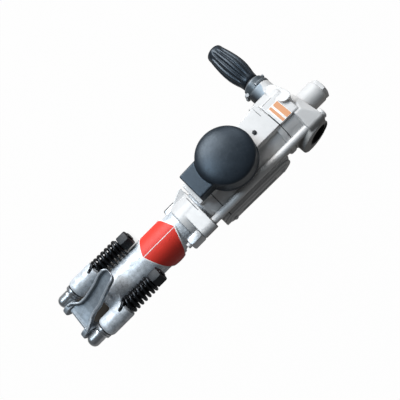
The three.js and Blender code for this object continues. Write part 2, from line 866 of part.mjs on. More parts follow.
// Cylinder: barrel, front band, top pad, rear flange, duct seat, exhaust spigot and feet
function cylinder() {
  const barrel = turned([
    [0, 0],
    [0, bandRadius - padInset],
    [padInset, bandRadius],
    [frontBandLength - padInset, bandRadius],
    [frontBandLength, barrelRadius],
    [cylinderLength - padInset, barrelRadius],
    [cylinderLength - padInset, 0],
  ]);
  const padShape = polygonShape([
    [seatGap, -padEdgeAcross],
    [cylinderLength - padInset, -padEdgeAcross],
    [cylinderLength - padInset, padBackWidth - padEdgeAcross],
    [cylinderLength * 2 / 3, padBackWidth - padEdgeAcross - padInset],
    [cylinderLength / 3, (padFrontWidth + padBackWidth) / 2 - padEdgeAcross],
    [seatGap, padFrontWidth - padEdgeAcross],
  ]);
  const pad = plate(padShape, 0, padTop, 'z', padInset);
  const ledge = block(frontBandLength, cylinderLength - padInset,
    -padEdgeAcross - ledgeWidth, 0, 0, padTop - ledgeDrop);
  const rearFlange = plate(
    rearShape(headRoundRadius + padInset, rearFlangeReach, padTop - padInset, rearFlangeCorner),
    cylinderLength - rearFlangeLength, cylinderLength, 'x', padInset / 2);
  const ductSeat = block(ductStation, ductStation + ductLength, -ductSeatAcross, 0,
    -ductCentreDrop - ductHeight / 2, -ductCentreDrop + ductHeight / 2);
  const feet = [frontFootStation, backFootStation].map((station) => plate(polygonShape([
    [-footWidth / 2, -floorDrop],
    [footWidth / 2, -floorDrop],
    [footWidth / 2 + footRise, 0],
    [-footWidth / 2 - footRise, 0],
  ]), station, station + footLength, 'x'));
  const spigot = moved(turned([
    [0, 0],
    [0, spigotOuterRadius],
    [spigotTop - spigotLipHeight, spigotOuterRadius],
    [spigotTop - spigotLipHeight, spigotOuterRadius + spigotLipRise],
    [spigotTop - padInset, spigotOuterRadius + spigotLipRise],
    [spigotTop, spigotOuterRadius + spigotLipRise - padInset],
    [spigotTop, 0],
  ], fineSides, 'z'), mufflerStation, mufflerAcross, 0);
  const ductChannel = plate(hullShape([
    [ductStation + ductHeight / 2, -ductCentreDrop, ductHeight / 4],
    [ductStation + ductLength - ductHeight / 2, -ductCentreDrop, ductHeight / 4],
  ], coarseSides), -ductSeatAcross - overrun, -ductSeatAcross + ductChannelDepth, 'y');
  const grooveBack = cylinderLength - rearFlangeLength;
  const groove = block(grooveBack - flangeGrooveWidth, grooveBack,
    padFrontWidth / 2, padBackWidth, padTop - flangeGrooveDepth, padTop + overrun);
  const rodHoles = [-1, 1].map((side) => moved(
    rod(-overrun, cylinderLength + overrun, rodHoleRadius, coarseSides),
    0, side * rodAcross, -side * rodUp));
  const plugBore = rod(padTop - overrun, padTop + overrun, oilPlugRadius / 2 + seatGap, 12, 'z');
  const plugHole = moved(plugBore, oilPlugStation, oilPlugAcross, 0);
  return cut(join(barrel, pad, ledge, rearFlange, ductSeat, ...feet, spigot),
    rod(-overrun, frontWallLength + overrun, spigotRadius + seatGap, fineSides),
    rod(frontWallLength, chestPocketStation + overrun, boreRadius, fineSides),
    rod(chestPocketStation, cylinderLength + overrun, chestRadius, fineSides),
    moved(rod(0, spigotTop + overrun, spigotBoreRadius, mediumSides, 'z'), mufflerStation, mufflerAcross, 0),
    ductChannel, groove, plugHole, ...rodHoles);
}

function oilPlug() {
  const stem = rod(padTop - overrun + seatGap, padTop + oilPlugHeight, oilPlugRadius / 2, 12, 'z');
  const seat = padTop + seatGap;
  const head = hexPiece(seat, seat + oilPlugHeight, 2 * oilPlugRadius, padInset / 4, 'z');
  return moved(join(stem, head), oilPlugStation, oilPlugAcross, 0);
}

// Side rods with a fixed round head at the back, and their long nuts at the front
function sideRod(side) {
  const nutFace = flangeLugFront - seatGap;
  const tip = nutFace - rodNutLength - rodTipLength;
  const headFace = headBack + seatGap;
  return moved(turned([
    [tip, 0],
    [tip, rodTipRadius],
    [tip + rodTipLength - seatGap, rodTipRadius],
    [tip + rodTipLength, rodRadius],
    [headFace, rodRadius],
    [headFace, rodHeadRadius],
    [headFace + rodHeadLength - padInset, rodHeadRadius],
    [headFace + rodHeadLength, rodHeadRadius - padInset],
    [headFace + rodHeadLength, 0],
  ], coarseSides), 0, side * rodAcross, -side * rodUp);
}

function rodNut(side) {
  const back = flangeLugFront - seatGap;
  return moved(cut(
    hexPiece(back - rodNutLength, back, rodNutFlats, 2 * padInset),
    rod(back - rodNutLength - overrun, back + overrun, rodHoleRadius, coarseSides),
  ), 0, side * rodAcross, -side * rodUp);
}

// Side duct cover: a plate with a raised ridge and a long slot sunk along it
function ductOutline(inset) {
  const radius = ductHeight / 2 - inset;
  return hullShape([
    [ductStation + ductHeight / 2, -ductCentreDrop, radius],
    [ductStation + ductLength - ductHeight / 2, -ductCentreDrop, radius],
  ], fineSides);
}

function ductCover() {
  const back = -ductSeatAcross - seatGap;
  const face = back - ductPlateThickness;
  const slot = plate(hullShape([
    [ductStation + ductHeight, -ductCentreDrop, ductSlotHalf],
    [ductStation + ductLength - ductHeight, -ductCentreDrop, ductSlotHalf],
  ], coarseSides), face - ductRidgeThickness - overrun, face, 'y');
  return cut(join(plate(ductOutline(0), face, back, 'y', padInset / 2),
    plate(ductOutline(ductRidgeInset), face - ductRidgeThickness, back - seatGap, 'y', padInset / 2)), slot);
}

function ductScrew(end) {
  const face = -ductSeatAcross - seatGap - ductPlateThickness - ductRidgeThickness - seatGap;
  const station = ductStation + ductLength / 2 + (end * (ductLength - ductHeight)) / 2;
  return moved(turned([
    [face - ductScrewHeight, 0],
    [face - ductScrewHeight, ductScrewRadius - padInset],
    [face - ductScrewHeight + padInset, ductScrewRadius],
    [face, ductScrewRadius],
    [face, 0],
  ], coarseSides, 'y'), station, 0, -ductCentreDrop);
}

// Muffler cap: a hollow rubber dome with a rectangular outlet towards the chuck
function mufflerShell(inset) {
  const rim = capRadius - inset;
  const bottom = capBottom + (inset > 0 ? capFloor : 0);
  const wallTop = capBottom + capWallHeight - inset / 2;
  const dome = domeShares.map((share) => [
    wallTop + (capTop - inset - wallTop) * Math.sin((share * Math.PI) / 2),
    rim * Math.cos((share * Math.PI) / 2),
  ]);
  dome[dome.length - 1][1] = 0;
  const shell = turned([[bottom, 0], [bottom, rim], ...dome], fineSides, 'z');
  return moved(shell, mufflerStation, mufflerAcross, 0);
}

function mufflerCap() {
  const mouth = mufflerStation - spoutReach;
  const middle = mufflerAcross + spoutOffset;
  const low = capBottom + spoutLift;
  const [left, right] = [middle - spoutWidth / 2, middle + spoutWidth / 2];
  const outer = block(mouth, mufflerStation, left, right, low, low + spoutHeight);
  const inner = block(mouth - overrun, mufflerStation, left + spoutWall, right - spoutWall,
    low + spoutWall, low + spoutHeight - spoutWall);
  const solidSpout = join(mufflerShell(0), outer);
  const collar = moved(
    rod(capBottom - overrun, capBottom + capFloor + overrun, spigotOuterRadius + seatGap, fineSides, 'z'),
    mufflerStation, mufflerAcross, 0);
  return cut(solidSpout, mufflerShell(capWall), inner, collar);
}

// Back head: body, crosswise handle barrel with its open socket, rod lugs, tongue and air chamber
function backHead() {
  const body = plate(rearShape(headRoundRadius, headSideReach, headTopRise, headCorner),
    headFront, headBodyBack, 'x', padInset);
  const inletBoss = turned([
    [headBodyBack - overrun, 0],
    [headBodyBack - overrun, headRoundRadius - overrun],
    [headBack - headLugRadius, inletBossRadius + padInset],
    [headBack, inletBossRadius],
    [headBack, 0],
  ]);
  const barrel = moved(turned([
    [-socketReach, 0],
    [-socketReach, socketRadius - padInset],
    [-socketReach + padInset, socketRadius],
    [-socketReach + socketRingLength, socketRadius],
    [-socketReach + socketRingLength + overrun, handleBossRadius],
    [headSideReach, handleBossRadius],
    [headSideReach + overrun, neckOuterRadius],
    [neckReach, neckOuterRadius],
    [neckReach, 0],
  ], fineSides, 'y'), handleStation, 0, 0);
  const tongueBlock = plate(hullShape([
    [tongueStation, tongueEnd, tongueHalfWidth],
    [tongueStation, headSideReach, tongueHalfWidth - padInset],
  ], mediumSides), 0, tongueRise, 'z', padInset);
  const tongueSide = plate(polygonShape([
    [-tongueEnd, 0],
    [headSideReach + tongueEnd, 0],
    [headSideReach + tongueEnd, tongueLowRise],
    [tongueSlopeStart, tongueRise],
    [-tongueEnd, tongueRise],
  ]), headFront, headBack, 'x');
  const tongue = keep(tongueBlock, tongueSide);
  const lugs = [
    [[-rodAcross, rodUp, headLugRadius], [0, 0, inletBossRadius], [0, headTopRise / 2, inletBossRadius / 2]],
    [[rodAcross, -rodUp, headLugRadius], [0, 0, inletBossRadius]],
  ].map((circles) => plate(hullShape(circles), headLugStation, headBack, 'x', padInset));
  const foot = block(headFront + padInset, headBodyBack,
    -headFootWidth / 2, headFootWidth / 2, -floorDrop, -headTopRise / 2);
  const topPad = block(headFront, headBodyBack - padInset,
    -padEdgeAcross, headSideReach - headCorner, 0, headTopRise);
  const rodHoles = [-1, 1].map((side) => moved(
    rod(headFront - overrun, headBack + overrun, rodHoleRadius, coarseSides),
    0, side * rodAcross, -side * rodUp));
  const handleBores = [
    ring(-socketReach - overrun, -socketReach + socketDepth, socketBoreRadius, 0, mediumSides, 'y'),
    rod(-socketReach, 0, handleStudRadius + seatGap, coarseSides, 'y'),
    rod(spoolBack - seatGap, neckReach + overrun, spoolRadius + seatGap, mediumSides, 'y'),
  ].map((bore) => moved(bore, handleStation, 0, 0));
  const passage = moved(rod(ratchetBack, handleStation, airPassageRadius, 12), 0, airPassageAcross, 0);
  return cut(join(body, topPad, inletBoss, barrel, tongue, ...lugs, foot),
    ...rodHoles, ...handleBores, passage,
    rod(headFront - overrun, ratchetBack + seatGap, chestRadius, fineSides),
    rod(headFront, pawlHeadBack + trunnionLength + seatGap, trunnionRadius + seatGap, mediumSides),
    rod(handleStation, headBack + overrun, inletSpigotRadius + seatGap, fineSides),
    rod(inletFlangeStation - seatGap, headBack + overrun,
      inletTubeRadius + inletFlangeRise + seatGap, fineSides));
}

// Throttle: the drilled spool inside the barrel, and the clamped collar that turns it
function throttleSpool() {
  const spool = turned([
    [spoolBack, handleStudRadius + seatGap],
    [spoolBack, spoolRadius],
    [collarStart - seatGap, spoolRadius],
    [collarStart - seatGap, spoolStemRadius],
    [collarEnd, spoolStemRadius],
    [collarEnd, handleStudRadius + seatGap],
  ], mediumSides, 'y');
  const port = rod(-spoolRadius - overrun, spoolRadius + overrun, spoolPortRadius, 12);
  return cut(spool, port, moved(port, 0, airPassageAcross, 0));
}

function throttleCollar() {
  const sleeve = ring(collarStart, collarEnd,
    throttleCollarRadius, spoolStemRadius + seatGap, fineSides, 'y');
  const lipRing = ring(collarStart, collarStart + collarLipLength, throttleCollarRadius + collarLipRise,
    spoolStemRadius + seatGap, fineSides, 'y');
  const lip = keep(lipRing, block(-collarLipRise, 2 * throttleCollarRadius, 0, 2 * neckReach,
    -collarEarReach, collarEarReach));
  const ear = block(-collarEarReach, -spoolStemRadius - collarLipRise, earStart, earStart + collarEarLength,
    -collarEarWidth / 2, collarEarWidth / 2);
  const hook = block(spoolStemRadius + collarLipRise, collarHookReach,
    collarEnd - collarHookLength, collarEnd, -collarHookWidth / 2, collarHookWidth / 2);
  const slit = block(-collarEarReach - overrun, -spoolStemRadius, collarStart - overrun, collarEnd + overrun,
    -collarSlit / 2, collarSlit / 2);
  const boltHole = moved(rod(-collarEarWidth, collarEarWidth, pinchBoltRadius + seatGap, 12, 'z'),
    ...pinchBoltPlace);
  return cut(join(sleeve, lip, ear, hook), slit, boltHole);
}

function pinchBolt() {
  const half = collarEarWidth / 2 + seatGap;
  const stem = rod(-half - pinchHeadLength, half, pinchBoltRadius, 12, 'z');
  const head = hexPiece(half, half + pinchHeadLength, 2 * pinchHeadRadius, padInset / 3, 'z');
  const nut = hexPiece(-half - pinchHeadLength, -half, 2 * pinchHeadRadius, padInset / 3, 'z');
  return moved(join(stem, moved(head, 0, 0, -weldDistance), nut), ...pinchBoltPlace);
}

// Side handle: a bar whose stud passes through the spool and is nutted in the socket
function handleBar() {
  const studEnd = -socketReach + socketDepth - handleNutLength - 2 * seatGap;
  return turned([
    [studEnd, 0],
    [studEnd, handleStudRadius],
    [handleShoulder, handleStudRadius],
    [handleShoulder, handleShoulderRadius],
    [handleShoulder + handleShoulderLength, handleShoulderRadius],
    [handleShoulder + handleShoulderLength, handleBarRadius],
    [handleBarTip, handleBarRadius],
    [handleBarTip, 0],
  ], mediumSides, 'y');
}

function handleNut() {
  const face = -socketReach + socketDepth - seatGap;
  return cut(hexPiece(face - handleNutLength, face, handleNutFlats, padInset, 'y'),
    rod(face - handleNutLength - overrun, face + overrun, handleStudRadius + seatGap, coarseSides, 'y'));
}

// Rubber grip: a waisted sleeve with ribs along it and a rounded closed tip
function grip() {
  const stationShares = [
    [0, gripBaseRadius, 0],
    [0.05, gripBaseRadius + padInset / 2, 0.3],
    [0.18, (gripBaseRadius + gripBellyRadius) / 2, 1],
    [0.36, gripBellyRadius, 1],
    [0.56, gripBellyRadius - padInset / 3, 1],
    [0.78, (gripTipRadius + gripBellyRadius) / 2, 1],
    [0.9, gripTipRadius + padInset, 0.6],
    [0.95, gripTipRadius + padInset / 2, 0],
    [0.985, gripTipRadius - padInset / 2, 0],
    [1, gripTipRadius - 2 * padInset, 0],
  ];
  const ribPoints = 3 * gripRibs;
  const rings = stationShares.map(([lengthShare, radius, ribShare]) => {
    const points = [];
    const along = gripStart + gripLength * lengthShare;
    for (let i = 0; i < ribPoints; i += 1) {
      const turn = (2 * Math.PI * i) / ribPoints;
      const reach = radius - (i % 3 === 0 ? gripRibDepth * ribShare : 0);
      points.push(new THREE.Vector3(reach * Math.cos(turn), along, reach * Math.sin(turn)));
    }
    return points;
  });
  const bore = rod(gripStart - overrun, handleBarTip + seatGap, handleBarRadius + seatGap, mediumSides, 'y');
  return cut(lofted(rings), bore);
}

// Air inlet: a swivelling connector held in the back head by a screwed gland
function airInlet() {
  const flangeRadiusHere = inletTubeRadius + inletFlangeRise;
  const tube = turned([
    [inletSpigotStation, inletBoreRadius],
    [inletSpigotStation, inletSpigotRadius],
    [inletFlangeStation, inletSpigotRadius],
    [inletFlangeStation, flangeRadiusHere],
    [inletFlangeStation + inletFlangeLength, flangeRadiusHere],
    [inletFlangeStation + inletFlangeLength, inletTubeRadius],
    [inletTubeEnd - padInset, inletTubeRadius],
    [inletTubeEnd, inletTubeRadius - padInset],
    [inletTubeEnd, inletBoreRadius],
  ]);
  const hexBack = inletTubeEnd + inletHexLength;
  const hexEnd = hexPiece(inletTubeEnd - padInset, hexBack, inletHexFlats, padInset);
  return join(tube, cut(hexEnd, rod(inletTubeEnd - overrun, hexBack + overrun, inletBoreRadius, fineSides)));
}

function inletGland() {
  const front = inletFlangeStation + inletFlangeLength + seatGap;
  return ring(front, headBack - seatGap, inletTubeRadius + inletFlangeRise, inletTubeRadius + seatGap);
}

// Retainer bolts: domed eye heads in front of the bosses, with shafts back through springs and nuts
function retainerBolt(side) {
  const length = boltHeadLength;
  const bolt = turned([
    [boltFront, 0],
    [boltFront, boltHeadRadius * boltNoseShare],
    [boltFront + length * boltCheekLengthShare, boltHeadRadius * boltCheekShare],
    [boltFront + length * boltDomeLengthShare, boltHeadRadius],
    [boltFace - length * boltBackLengthShare, boltHeadRadius],
    [boltFace, boltHeadRadius - padInset],
    [boltFace, retainerBoltRadius],
    [nutBack + boltTailLength, retainerBoltRadius],
    [nutBack + boltTailLength, 0],
  ], mediumSides);
  const pinHole = side > 0
    ? rod(pinInner, pinOuter + seatGap, pinRadius + seatGap, coarseSides, 'y')
    : rod(-pinOuter - seatGap, -pinInner, pinRadius + seatGap, coarseSides, 'y');
  return cut(moved(bolt, 0, side * bossAcross, bossUp), moved(pinHole, pivotStation, 0, bossUp));
}

function boltCollar(side) {
  const collar = turned([
    [boltFace + seatGap, retainerBoltRadius + seatGap],
    [boltFace + seatGap, collarRadius - collarChamfer],
    [boltFace + seatGap + collarChamfer, collarRadius],
    [bossFront - seatGap, collarRadius],
    [bossFront - seatGap, retainerBoltRadius + seatGap],
  ], mediumSides);
  return moved(collar, 0, side * bossAcross, bossUp);
}

function retainerPin(side) {
  const pin = rod(pinInner, pinOuter, pinRadius, coarseSides, 'y');
  return moved(pin, pivotStation, side > 0 ? 0 : -(pinInner + pinOuter), bossUp);
}

function retainerNut(side) {
  return moved(cut(
    hexPiece(nutFront + seatGap, nutBack, retainerNutFlats, padInset),
    rod(nutFront - overrun, nutBack + overrun, retainerBoltRadius + seatGap, coarseSides),
  ), 0, side * bossAcross, bossUp);
}

// Coil spring of round wire: each end turns square to its seat for one wire diameter
function retainerSpring(side) {
  const from = bossBack + seatGap;
  const to = nutFront;
  const diameter = 2 * springWireRadius;
  const radius = springOuterRadius - springWireRadius;
  const path = [[from, 0], [from + diameter, 0]];
  const start = from + 1.5 * diameter;
  const end = to - 1.5 * diameter;
  const steps = springCoils * springSteps;
  for (let i = 1; i < steps; i += 1) path.push([start + ((end - start) * i) / steps, i / springSteps]);
  path.push([to - diameter, springCoils], [to, springCoils]);
  const centres = path.map(([along, turns]) => new THREE.Vector3(
    along,
    side * radius * Math.cos(2 * Math.PI * turns),
    radius * Math.sin(2 * Math.PI * turns),
  ));
  const rings = centres.map((centre, i) => {
    const ends = i < 2 || i > centres.length - 3;
    const before = centres[Math.max(i - 1, 0)];
    const after = centres[Math.min(i + 1, centres.length - 1)];
    const tangent = ends && (i === 0 || i === centres.length - 1)
      ? new THREE.Vector3(1, 0, 0)
      : after.clone().sub(before).normalize();
    const outward = new THREE.Vector3(0, centre.y, centre.z).normalize();
    outward.addScaledVector(tangent, -outward.dot(tangent)).normalize();
    const sideways = tangent.clone().cross(outward);
    const points = [];
    for (let k = 0; k < springSides; k += 1) {
      const turn = (2 * Math.PI * k) / springSides;
      points.push(centre.clone()
        .addScaledVector(outward, springWireRadius * Math.cos(turn))
        .addScaledVector(sideways, springWireRadius * Math.sin(turn)));
    }
    return points;
  });
  printLeastGap(`retainer spring ${side}`, rings, springSteps / 2 + 2);
  return moved(lofted(rings), 0, side * bossAcross, bossUp);
}

// The least distance between points of the tube that lie more than half a coil apart along it
function printLeastGap(name, rings, apart) {
  let least = Infinity;
  rings.forEach((ringOne, i) => {
    for (const ringTwo of rings.slice(i + apart)) {
      for (const one of ringOne) {
        for (const two of ringTwo) least = Math.min(least, one.distanceTo(two));
      }
    }
  });
  console.log(`${name}: least gap to itself ${least.toFixed(2)} mm`);
}

// Retainer: the forged yoke that hooks in front of the drill steel's collar, with its long lever
function retainer() {
  const crossbarHalf = earReach - retainerEarWidth;
  const barrel = cut(rod(-earReach, earReach, retainerBarrelRadius, mediumSides, 'y'),
    block(-2 * retainerBarrelRadius, -forkFront, -crossbarHalf, crossbarHalf, -earReach, earReach));
  const ears = [-1, 1].map((side) => moved(
    rod(-retainerEarWidth / 2, retainerEarWidth / 2, retainerEarRadius, mediumSides, 'y'),
    0, side * (earReach - retainerEarWidth / 2), 0));
  const fork = plate(polygonShape([
    [-forkHalfWidth, 0],
    [-forkHalfWidth, -forkDepth + forkBack],
    [-forkHalfWidth + forkBack, -forkDepth],
    [forkHalfWidth - forkBack, -forkDepth],
    [forkHalfWidth, -forkDepth + forkBack],
    [forkHalfWidth, 0],
  ]), -forkFront, forkBack, 'x');
  const slot = plate(hullShape([[0, -bossUp, forkSlotRadius], [0, -bossUp - forkDepth, forkSlotRadius]]),
    -2 * forkFront, 2 * forkBack, 'x');
  const stationShares = [
    [0, 1, 0, 0],
    [0.08, 0.85, 0.3, 0.015],
    [0.14, 0.66, 0.3, 0.02],
    [0.21, 0.51, 0.3, 0.035],
    [0.32, 0.5, 0.15, 0.11],
    [0.45, 0.52, 0.1, 0.28],
    [0.63, 0.47, 0.46, 0.53],
    [0.82, 0.475, 1, 0.79],
    [0.93, 0.43, 1.05, 0.93],
    [0.98, 0.32, 1.05, 1.05],
    [1, 0.2, 1.05, 1.12],
  ];
  const rings = stationShares.map(([lengthShare, widthShare, skewShare, riseShare], i) => {
    const width = Math.min(earReach * widthShare, earReach - seatGap);
    const low = armStart + armRise * riseShare;
    const flange = i > stationShares.length - 3 ? armFlangeHeight / 3 : armFlangeHeight;
    const section = [
      [-width, low],
      [width, low],
      [width, low + armFloor + flange],
      [width - armFlangeWidth, low + armFloor + flange],
      [width - armFlangeWidth - padInset, low + armFloor],
      [-width + armFlangeWidth + padInset, low + armFloor],
      [-width + armFlangeWidth, low + armFloor + flange],
      [-width, low + armFloor + flange],
    ];
    return section.map(([across, up]) => new THREE.Vector3(
      armLength * lengthShare,
      across + armSkew * skewShare,
      up,
    ));
  });
  return cut(join(barrel, ...ears, fork, lofted(rings)), slot,
    rod(pinInner - seatGap, earReach + overrun, pinRadius + seatGap, coarseSides, 'y'),
    rod(-earReach - overrun, -pinInner + seatGap, pinRadius + seatGap, coarseSides, 'y'));
}

// Finishes
function finish(color, roughness, metalness) {
  return () => new THREE.MeshStandardMaterial({ color, roughness, metalness });
}

const silverPaint = finish(0xc9cbcc, 0.45, 0.3);
const forgedSteel = finish(0x8f9497, 0.5, 0.85);
const machinedSteel = finish(0xa4a8ab, 0.3, 0.95);
const blackSteel = finish(0x1d1f21, 0.5, 0.6);
const bronze = finish(0xa9793f, 0.4, 0.9);
const blackRubber = finish(0x24282c, 0.65, 0);
const plated = finish(0xb8babc, 0.3, 0.9);

function piece(name, geometry, material, place = [0, 0, 0]) {
  const mesh = new THREE.Mesh(geometry, material());
  mesh.name = name;
  mesh.position.set(...place);
  return mesh;
}

// Assembly
const frontEnd = new THREE.Group().add(
  piece('front_head', frontHead(), forgedSteel),
  piece('chuck_sleeve', chuckSleeve(), machinedSteel),
  piece('hex_bush', hexBush(), machinedSteel),
  piece('chuck_nut', chuckNut(), bronze),
  piece('guide_bush', guideBush(), bronze),
  piece('front_flange', frontFlange(), silverPaint),
);
const sides = [['near', -1], ['far', 1]];
const retainerGroup = new THREE.Group().add(
  ...sides.flatMap(([name, side]) => [
    piece(`retainer_bolt_${name}`, retainerBolt(side), forgedSteel),
    piece(`bolt_collar_${name}`, boltCollar(side), forgedSteel),
    piece(`retainer_pin_${name}`, retainerPin(side), machinedSteel),
    piece(`retainer_nut_${name}`, retainerNut(side), blackSteel),
    piece(`retainer_spring_${name}`, retainerSpring(side), blackSteel),
  ]),
  piece('retainer', retainer(), forgedSteel, [pivotStation, 0, bossUp]),
);
const hammer = new THREE.Group().add(
  piece('piston', piston(), machinedSteel),
  piece('rifle_nut', rifleNut(), bronze),
  piece('rifle_bar', rifleBar(), machinedSteel),
  piece('ratchet_ring', ratchetRing(), machinedSteel),
  piece('valve_chest', valveChest(), machinedSteel),
  piece('ring_valve', ringValve(), machinedSteel),
  piece('valve_cover', valveCover(), machinedSteel),
  ...pawlIndices.flatMap((index) => [
    piece(`pawl_${index + 1}`, pawl(index), machinedSteel),
    piece(`pawl_spring_${index + 1}`, pawlSpring(index), machinedSteel),
  ]),
);
const casing = new THREE.Group().add(
  piece('cylinder', cylinder(), silverPaint),
  ...sides.flatMap(([name, side]) => [
    piece(`side_rod_${name}`, sideRod(side), silverPaint),
    piece(`rod_nut_${name}`, rodNut(side), plated),
  ]),
  piece('duct_cover', ductCover(), silverPaint),
  piece('duct_screw_front', ductScrew(-1), silverPaint),
  piece('duct_screw_back', ductScrew(1), silverPaint),
  piece('oil_plug', oilPlug(), blackSteel),
  piece('muffler_cap', mufflerCap(), blackRubber),
  piece('back_head', backHead(), silverPaint),
);
const handle = new THREE.Group().add(
  piece('throttle_spool', throttleSpool(), machinedSteel),
  piece('throttle_collar', throttleCollar(), forgedSteel),
  piece('pinch_bolt', pinchBolt(), machinedSteel),
  piece('handle_bar', handleBar(), machinedSteel),
  piece('handle_nut', handleNut(), machinedSteel),
  piece('grip', grip(), blackRubber),
);
handle.position.x = handleStation;
const inlet = new THREE.Group().add(
  piece('air_inlet', airInlet(), silverPaint),
  piece('inlet_gland', inletGland(), machinedSteel),
);

// The origin is the middle of the box's base
const drill = new THREE.Group().add(frontEnd, retainerGroup, hammer, casing, handle, inlet);
drill.updateMatrixWorld(true);
const extent = new THREE.Box3().setFromObject(drill, true);
const middle = extent.getCenter(new THREE.Vector3());
drill.position.set(-middle.x, -middle.y, -extent.min.z);
console.log(`shift ${drill.position.toArray().map((value) => value.toFixed(3))}`);

export default drill;
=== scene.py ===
import math

import bmesh
import bpy
from mathutils import Matrix, Vector
from mathutils.geometry import interpolate_bezier


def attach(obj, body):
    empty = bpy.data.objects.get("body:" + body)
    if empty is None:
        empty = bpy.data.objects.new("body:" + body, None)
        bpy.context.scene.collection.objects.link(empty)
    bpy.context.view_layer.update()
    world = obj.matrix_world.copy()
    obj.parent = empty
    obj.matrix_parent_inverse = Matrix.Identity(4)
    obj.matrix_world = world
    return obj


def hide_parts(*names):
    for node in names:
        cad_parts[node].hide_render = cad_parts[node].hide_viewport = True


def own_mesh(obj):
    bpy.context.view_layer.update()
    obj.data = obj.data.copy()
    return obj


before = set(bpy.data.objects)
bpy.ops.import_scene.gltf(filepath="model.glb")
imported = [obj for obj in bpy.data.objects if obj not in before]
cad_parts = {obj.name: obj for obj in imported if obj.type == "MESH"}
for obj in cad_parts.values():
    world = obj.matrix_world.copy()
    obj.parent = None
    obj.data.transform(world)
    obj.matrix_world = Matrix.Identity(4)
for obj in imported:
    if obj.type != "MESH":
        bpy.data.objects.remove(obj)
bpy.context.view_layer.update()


# Camera, floor and lamps. The drill lies on a white floor and is seen from above, from the near side.
# The picture stands turned by 45 degrees, so that the drill runs from corner to corner.
DRILL_SHIFT = (-1.1, -66.75, 48.0)
DRILL = Matrix.Scale(0.001, 4) @ Matrix.Translation(DRILL_SHIFT)
camera_distance = 0.8
back = Vector((0, -0.342, 0.94)).normalized()
up = Vector((1, 0.94, 0.342)).normalized()
up = (up - back * up.dot(back)).normalized()
right = up.cross(back)
aim = DRILL @ Vector((5, 10.6, 0))
camera = bpy.data.objects.new("camera", bpy.data.cameras.new("camera"))
camera.data.angle = math.radians(45)
camera.data.clip_start = 0.01
turn = Matrix((right, up, back)).transposed().to_4x4()
camera.matrix_world = Matrix.Translation(aim + back * camera_distance) @ turn
bpy.context.collection.objects.link(camera)
bpy.context.scene.camera = camera
bpy.context.scene.view_settings.view_transform = "Standard"


class Value:
    """A socket of a material, with the sums that the finishes below are written in."""

    def __init__(self, finish, socket):
        self.finish = finish
        self.socket = socket

    def __add__(self, other):
        return self.finish.maths("ADD", self, other)

    def __radd__(self, other):
        return self.finish.maths("ADD", other, self)

    def __sub__(self, other):
        return self.finish.maths("SUBTRACT", self, other)

    def __rsub__(self, other):
        return self.finish.maths("SUBTRACT", other, self)

    def __mul__(self, other):
        return self.finish.maths("MULTIPLY", self, other)

    def __rmul__(self, other):
        return self.finish.maths("MULTIPLY", other, self)

    def limited(self):
        return self.finish.maths("MAXIMUM", self.finish.maths("MINIMUM", self, 1.0), 0.0)


class Finish:
    """A material built node by node."""

    def __init__(self, name):
        self.material = bpy.data.materials.new(name)
        self.material.use_nodes = True
        self.tree = self.material.node_tree
        self.tree.nodes.clear()

    def put(self, socket, value):
        if isinstance(value, Value):
            self.tree.links.new(value.socket, socket)
        else:
            socket.default_value = value

    def node(self, kind, settings=None, inputs=None, output=0):
        made = self.tree.nodes.new(kind)
        for name, value in (settings or {}).items():
            setattr(made, name, value)
        for name, value in (inputs or {}).items():
            self.put(made.inputs[name], value)
        return Value(self, made.outputs[output])

    def maths(self, operation, first, second):
        return self.node("ShaderNodeMath", {"operation": operation}, {0: first, 1: second})

    def place(self):
        return self.node("ShaderNodeTexCoord", output="Object")

    def measured(self, axis):
        """The place along one of the drill's axes, in its millimetres."""
        part = self.node("ShaderNodeSeparateXYZ", None, {"Vector": self.place()}, axis)
        return part * 1000.0 - DRILL_SHIFT["XYZ".index(axis)]

    def ramp(self, value, start, end):
        """0 before the start, 1 past the end."""
        return self.node("ShaderNodeMapRange", None, {"Value": value, "From Min": start, "From Max": end})

    def noise(self, scale, detail=3.0, rough=0.5):
        return self.node("ShaderNodeTexNoise", None, {
            "Vector": self.place(), "Scale": scale, "Detail": detail, "Roughness": rough})

    def sharpness(self):
        """About 0.5 on flat skin, more on edges and less in hollows."""
        return self.node("ShaderNodeNewGeometry", output="Pointiness")

    def blend(self, share, first, second):
        return self.node("ShaderNodeMix", {"data_type": "RGBA"}, {0: share, 6: first, 7: second}, 2)

    def bump(self, height, strength, distance):
        return self.node("ShaderNodeBump", None, {
            "Height": height, "Strength": strength, "Distance": distance})

    def shade(self, **inputs):
        named = {key.replace("_", " "): value for key, value in inputs.items()}
        return self.node("ShaderNodeBsdfPrincipled", None, named)

    def out(self, shader):
        end = self.tree.nodes.new("ShaderNodeOutputMaterial")
        self.put(end.inputs["Surface"], shader)
        return self.material


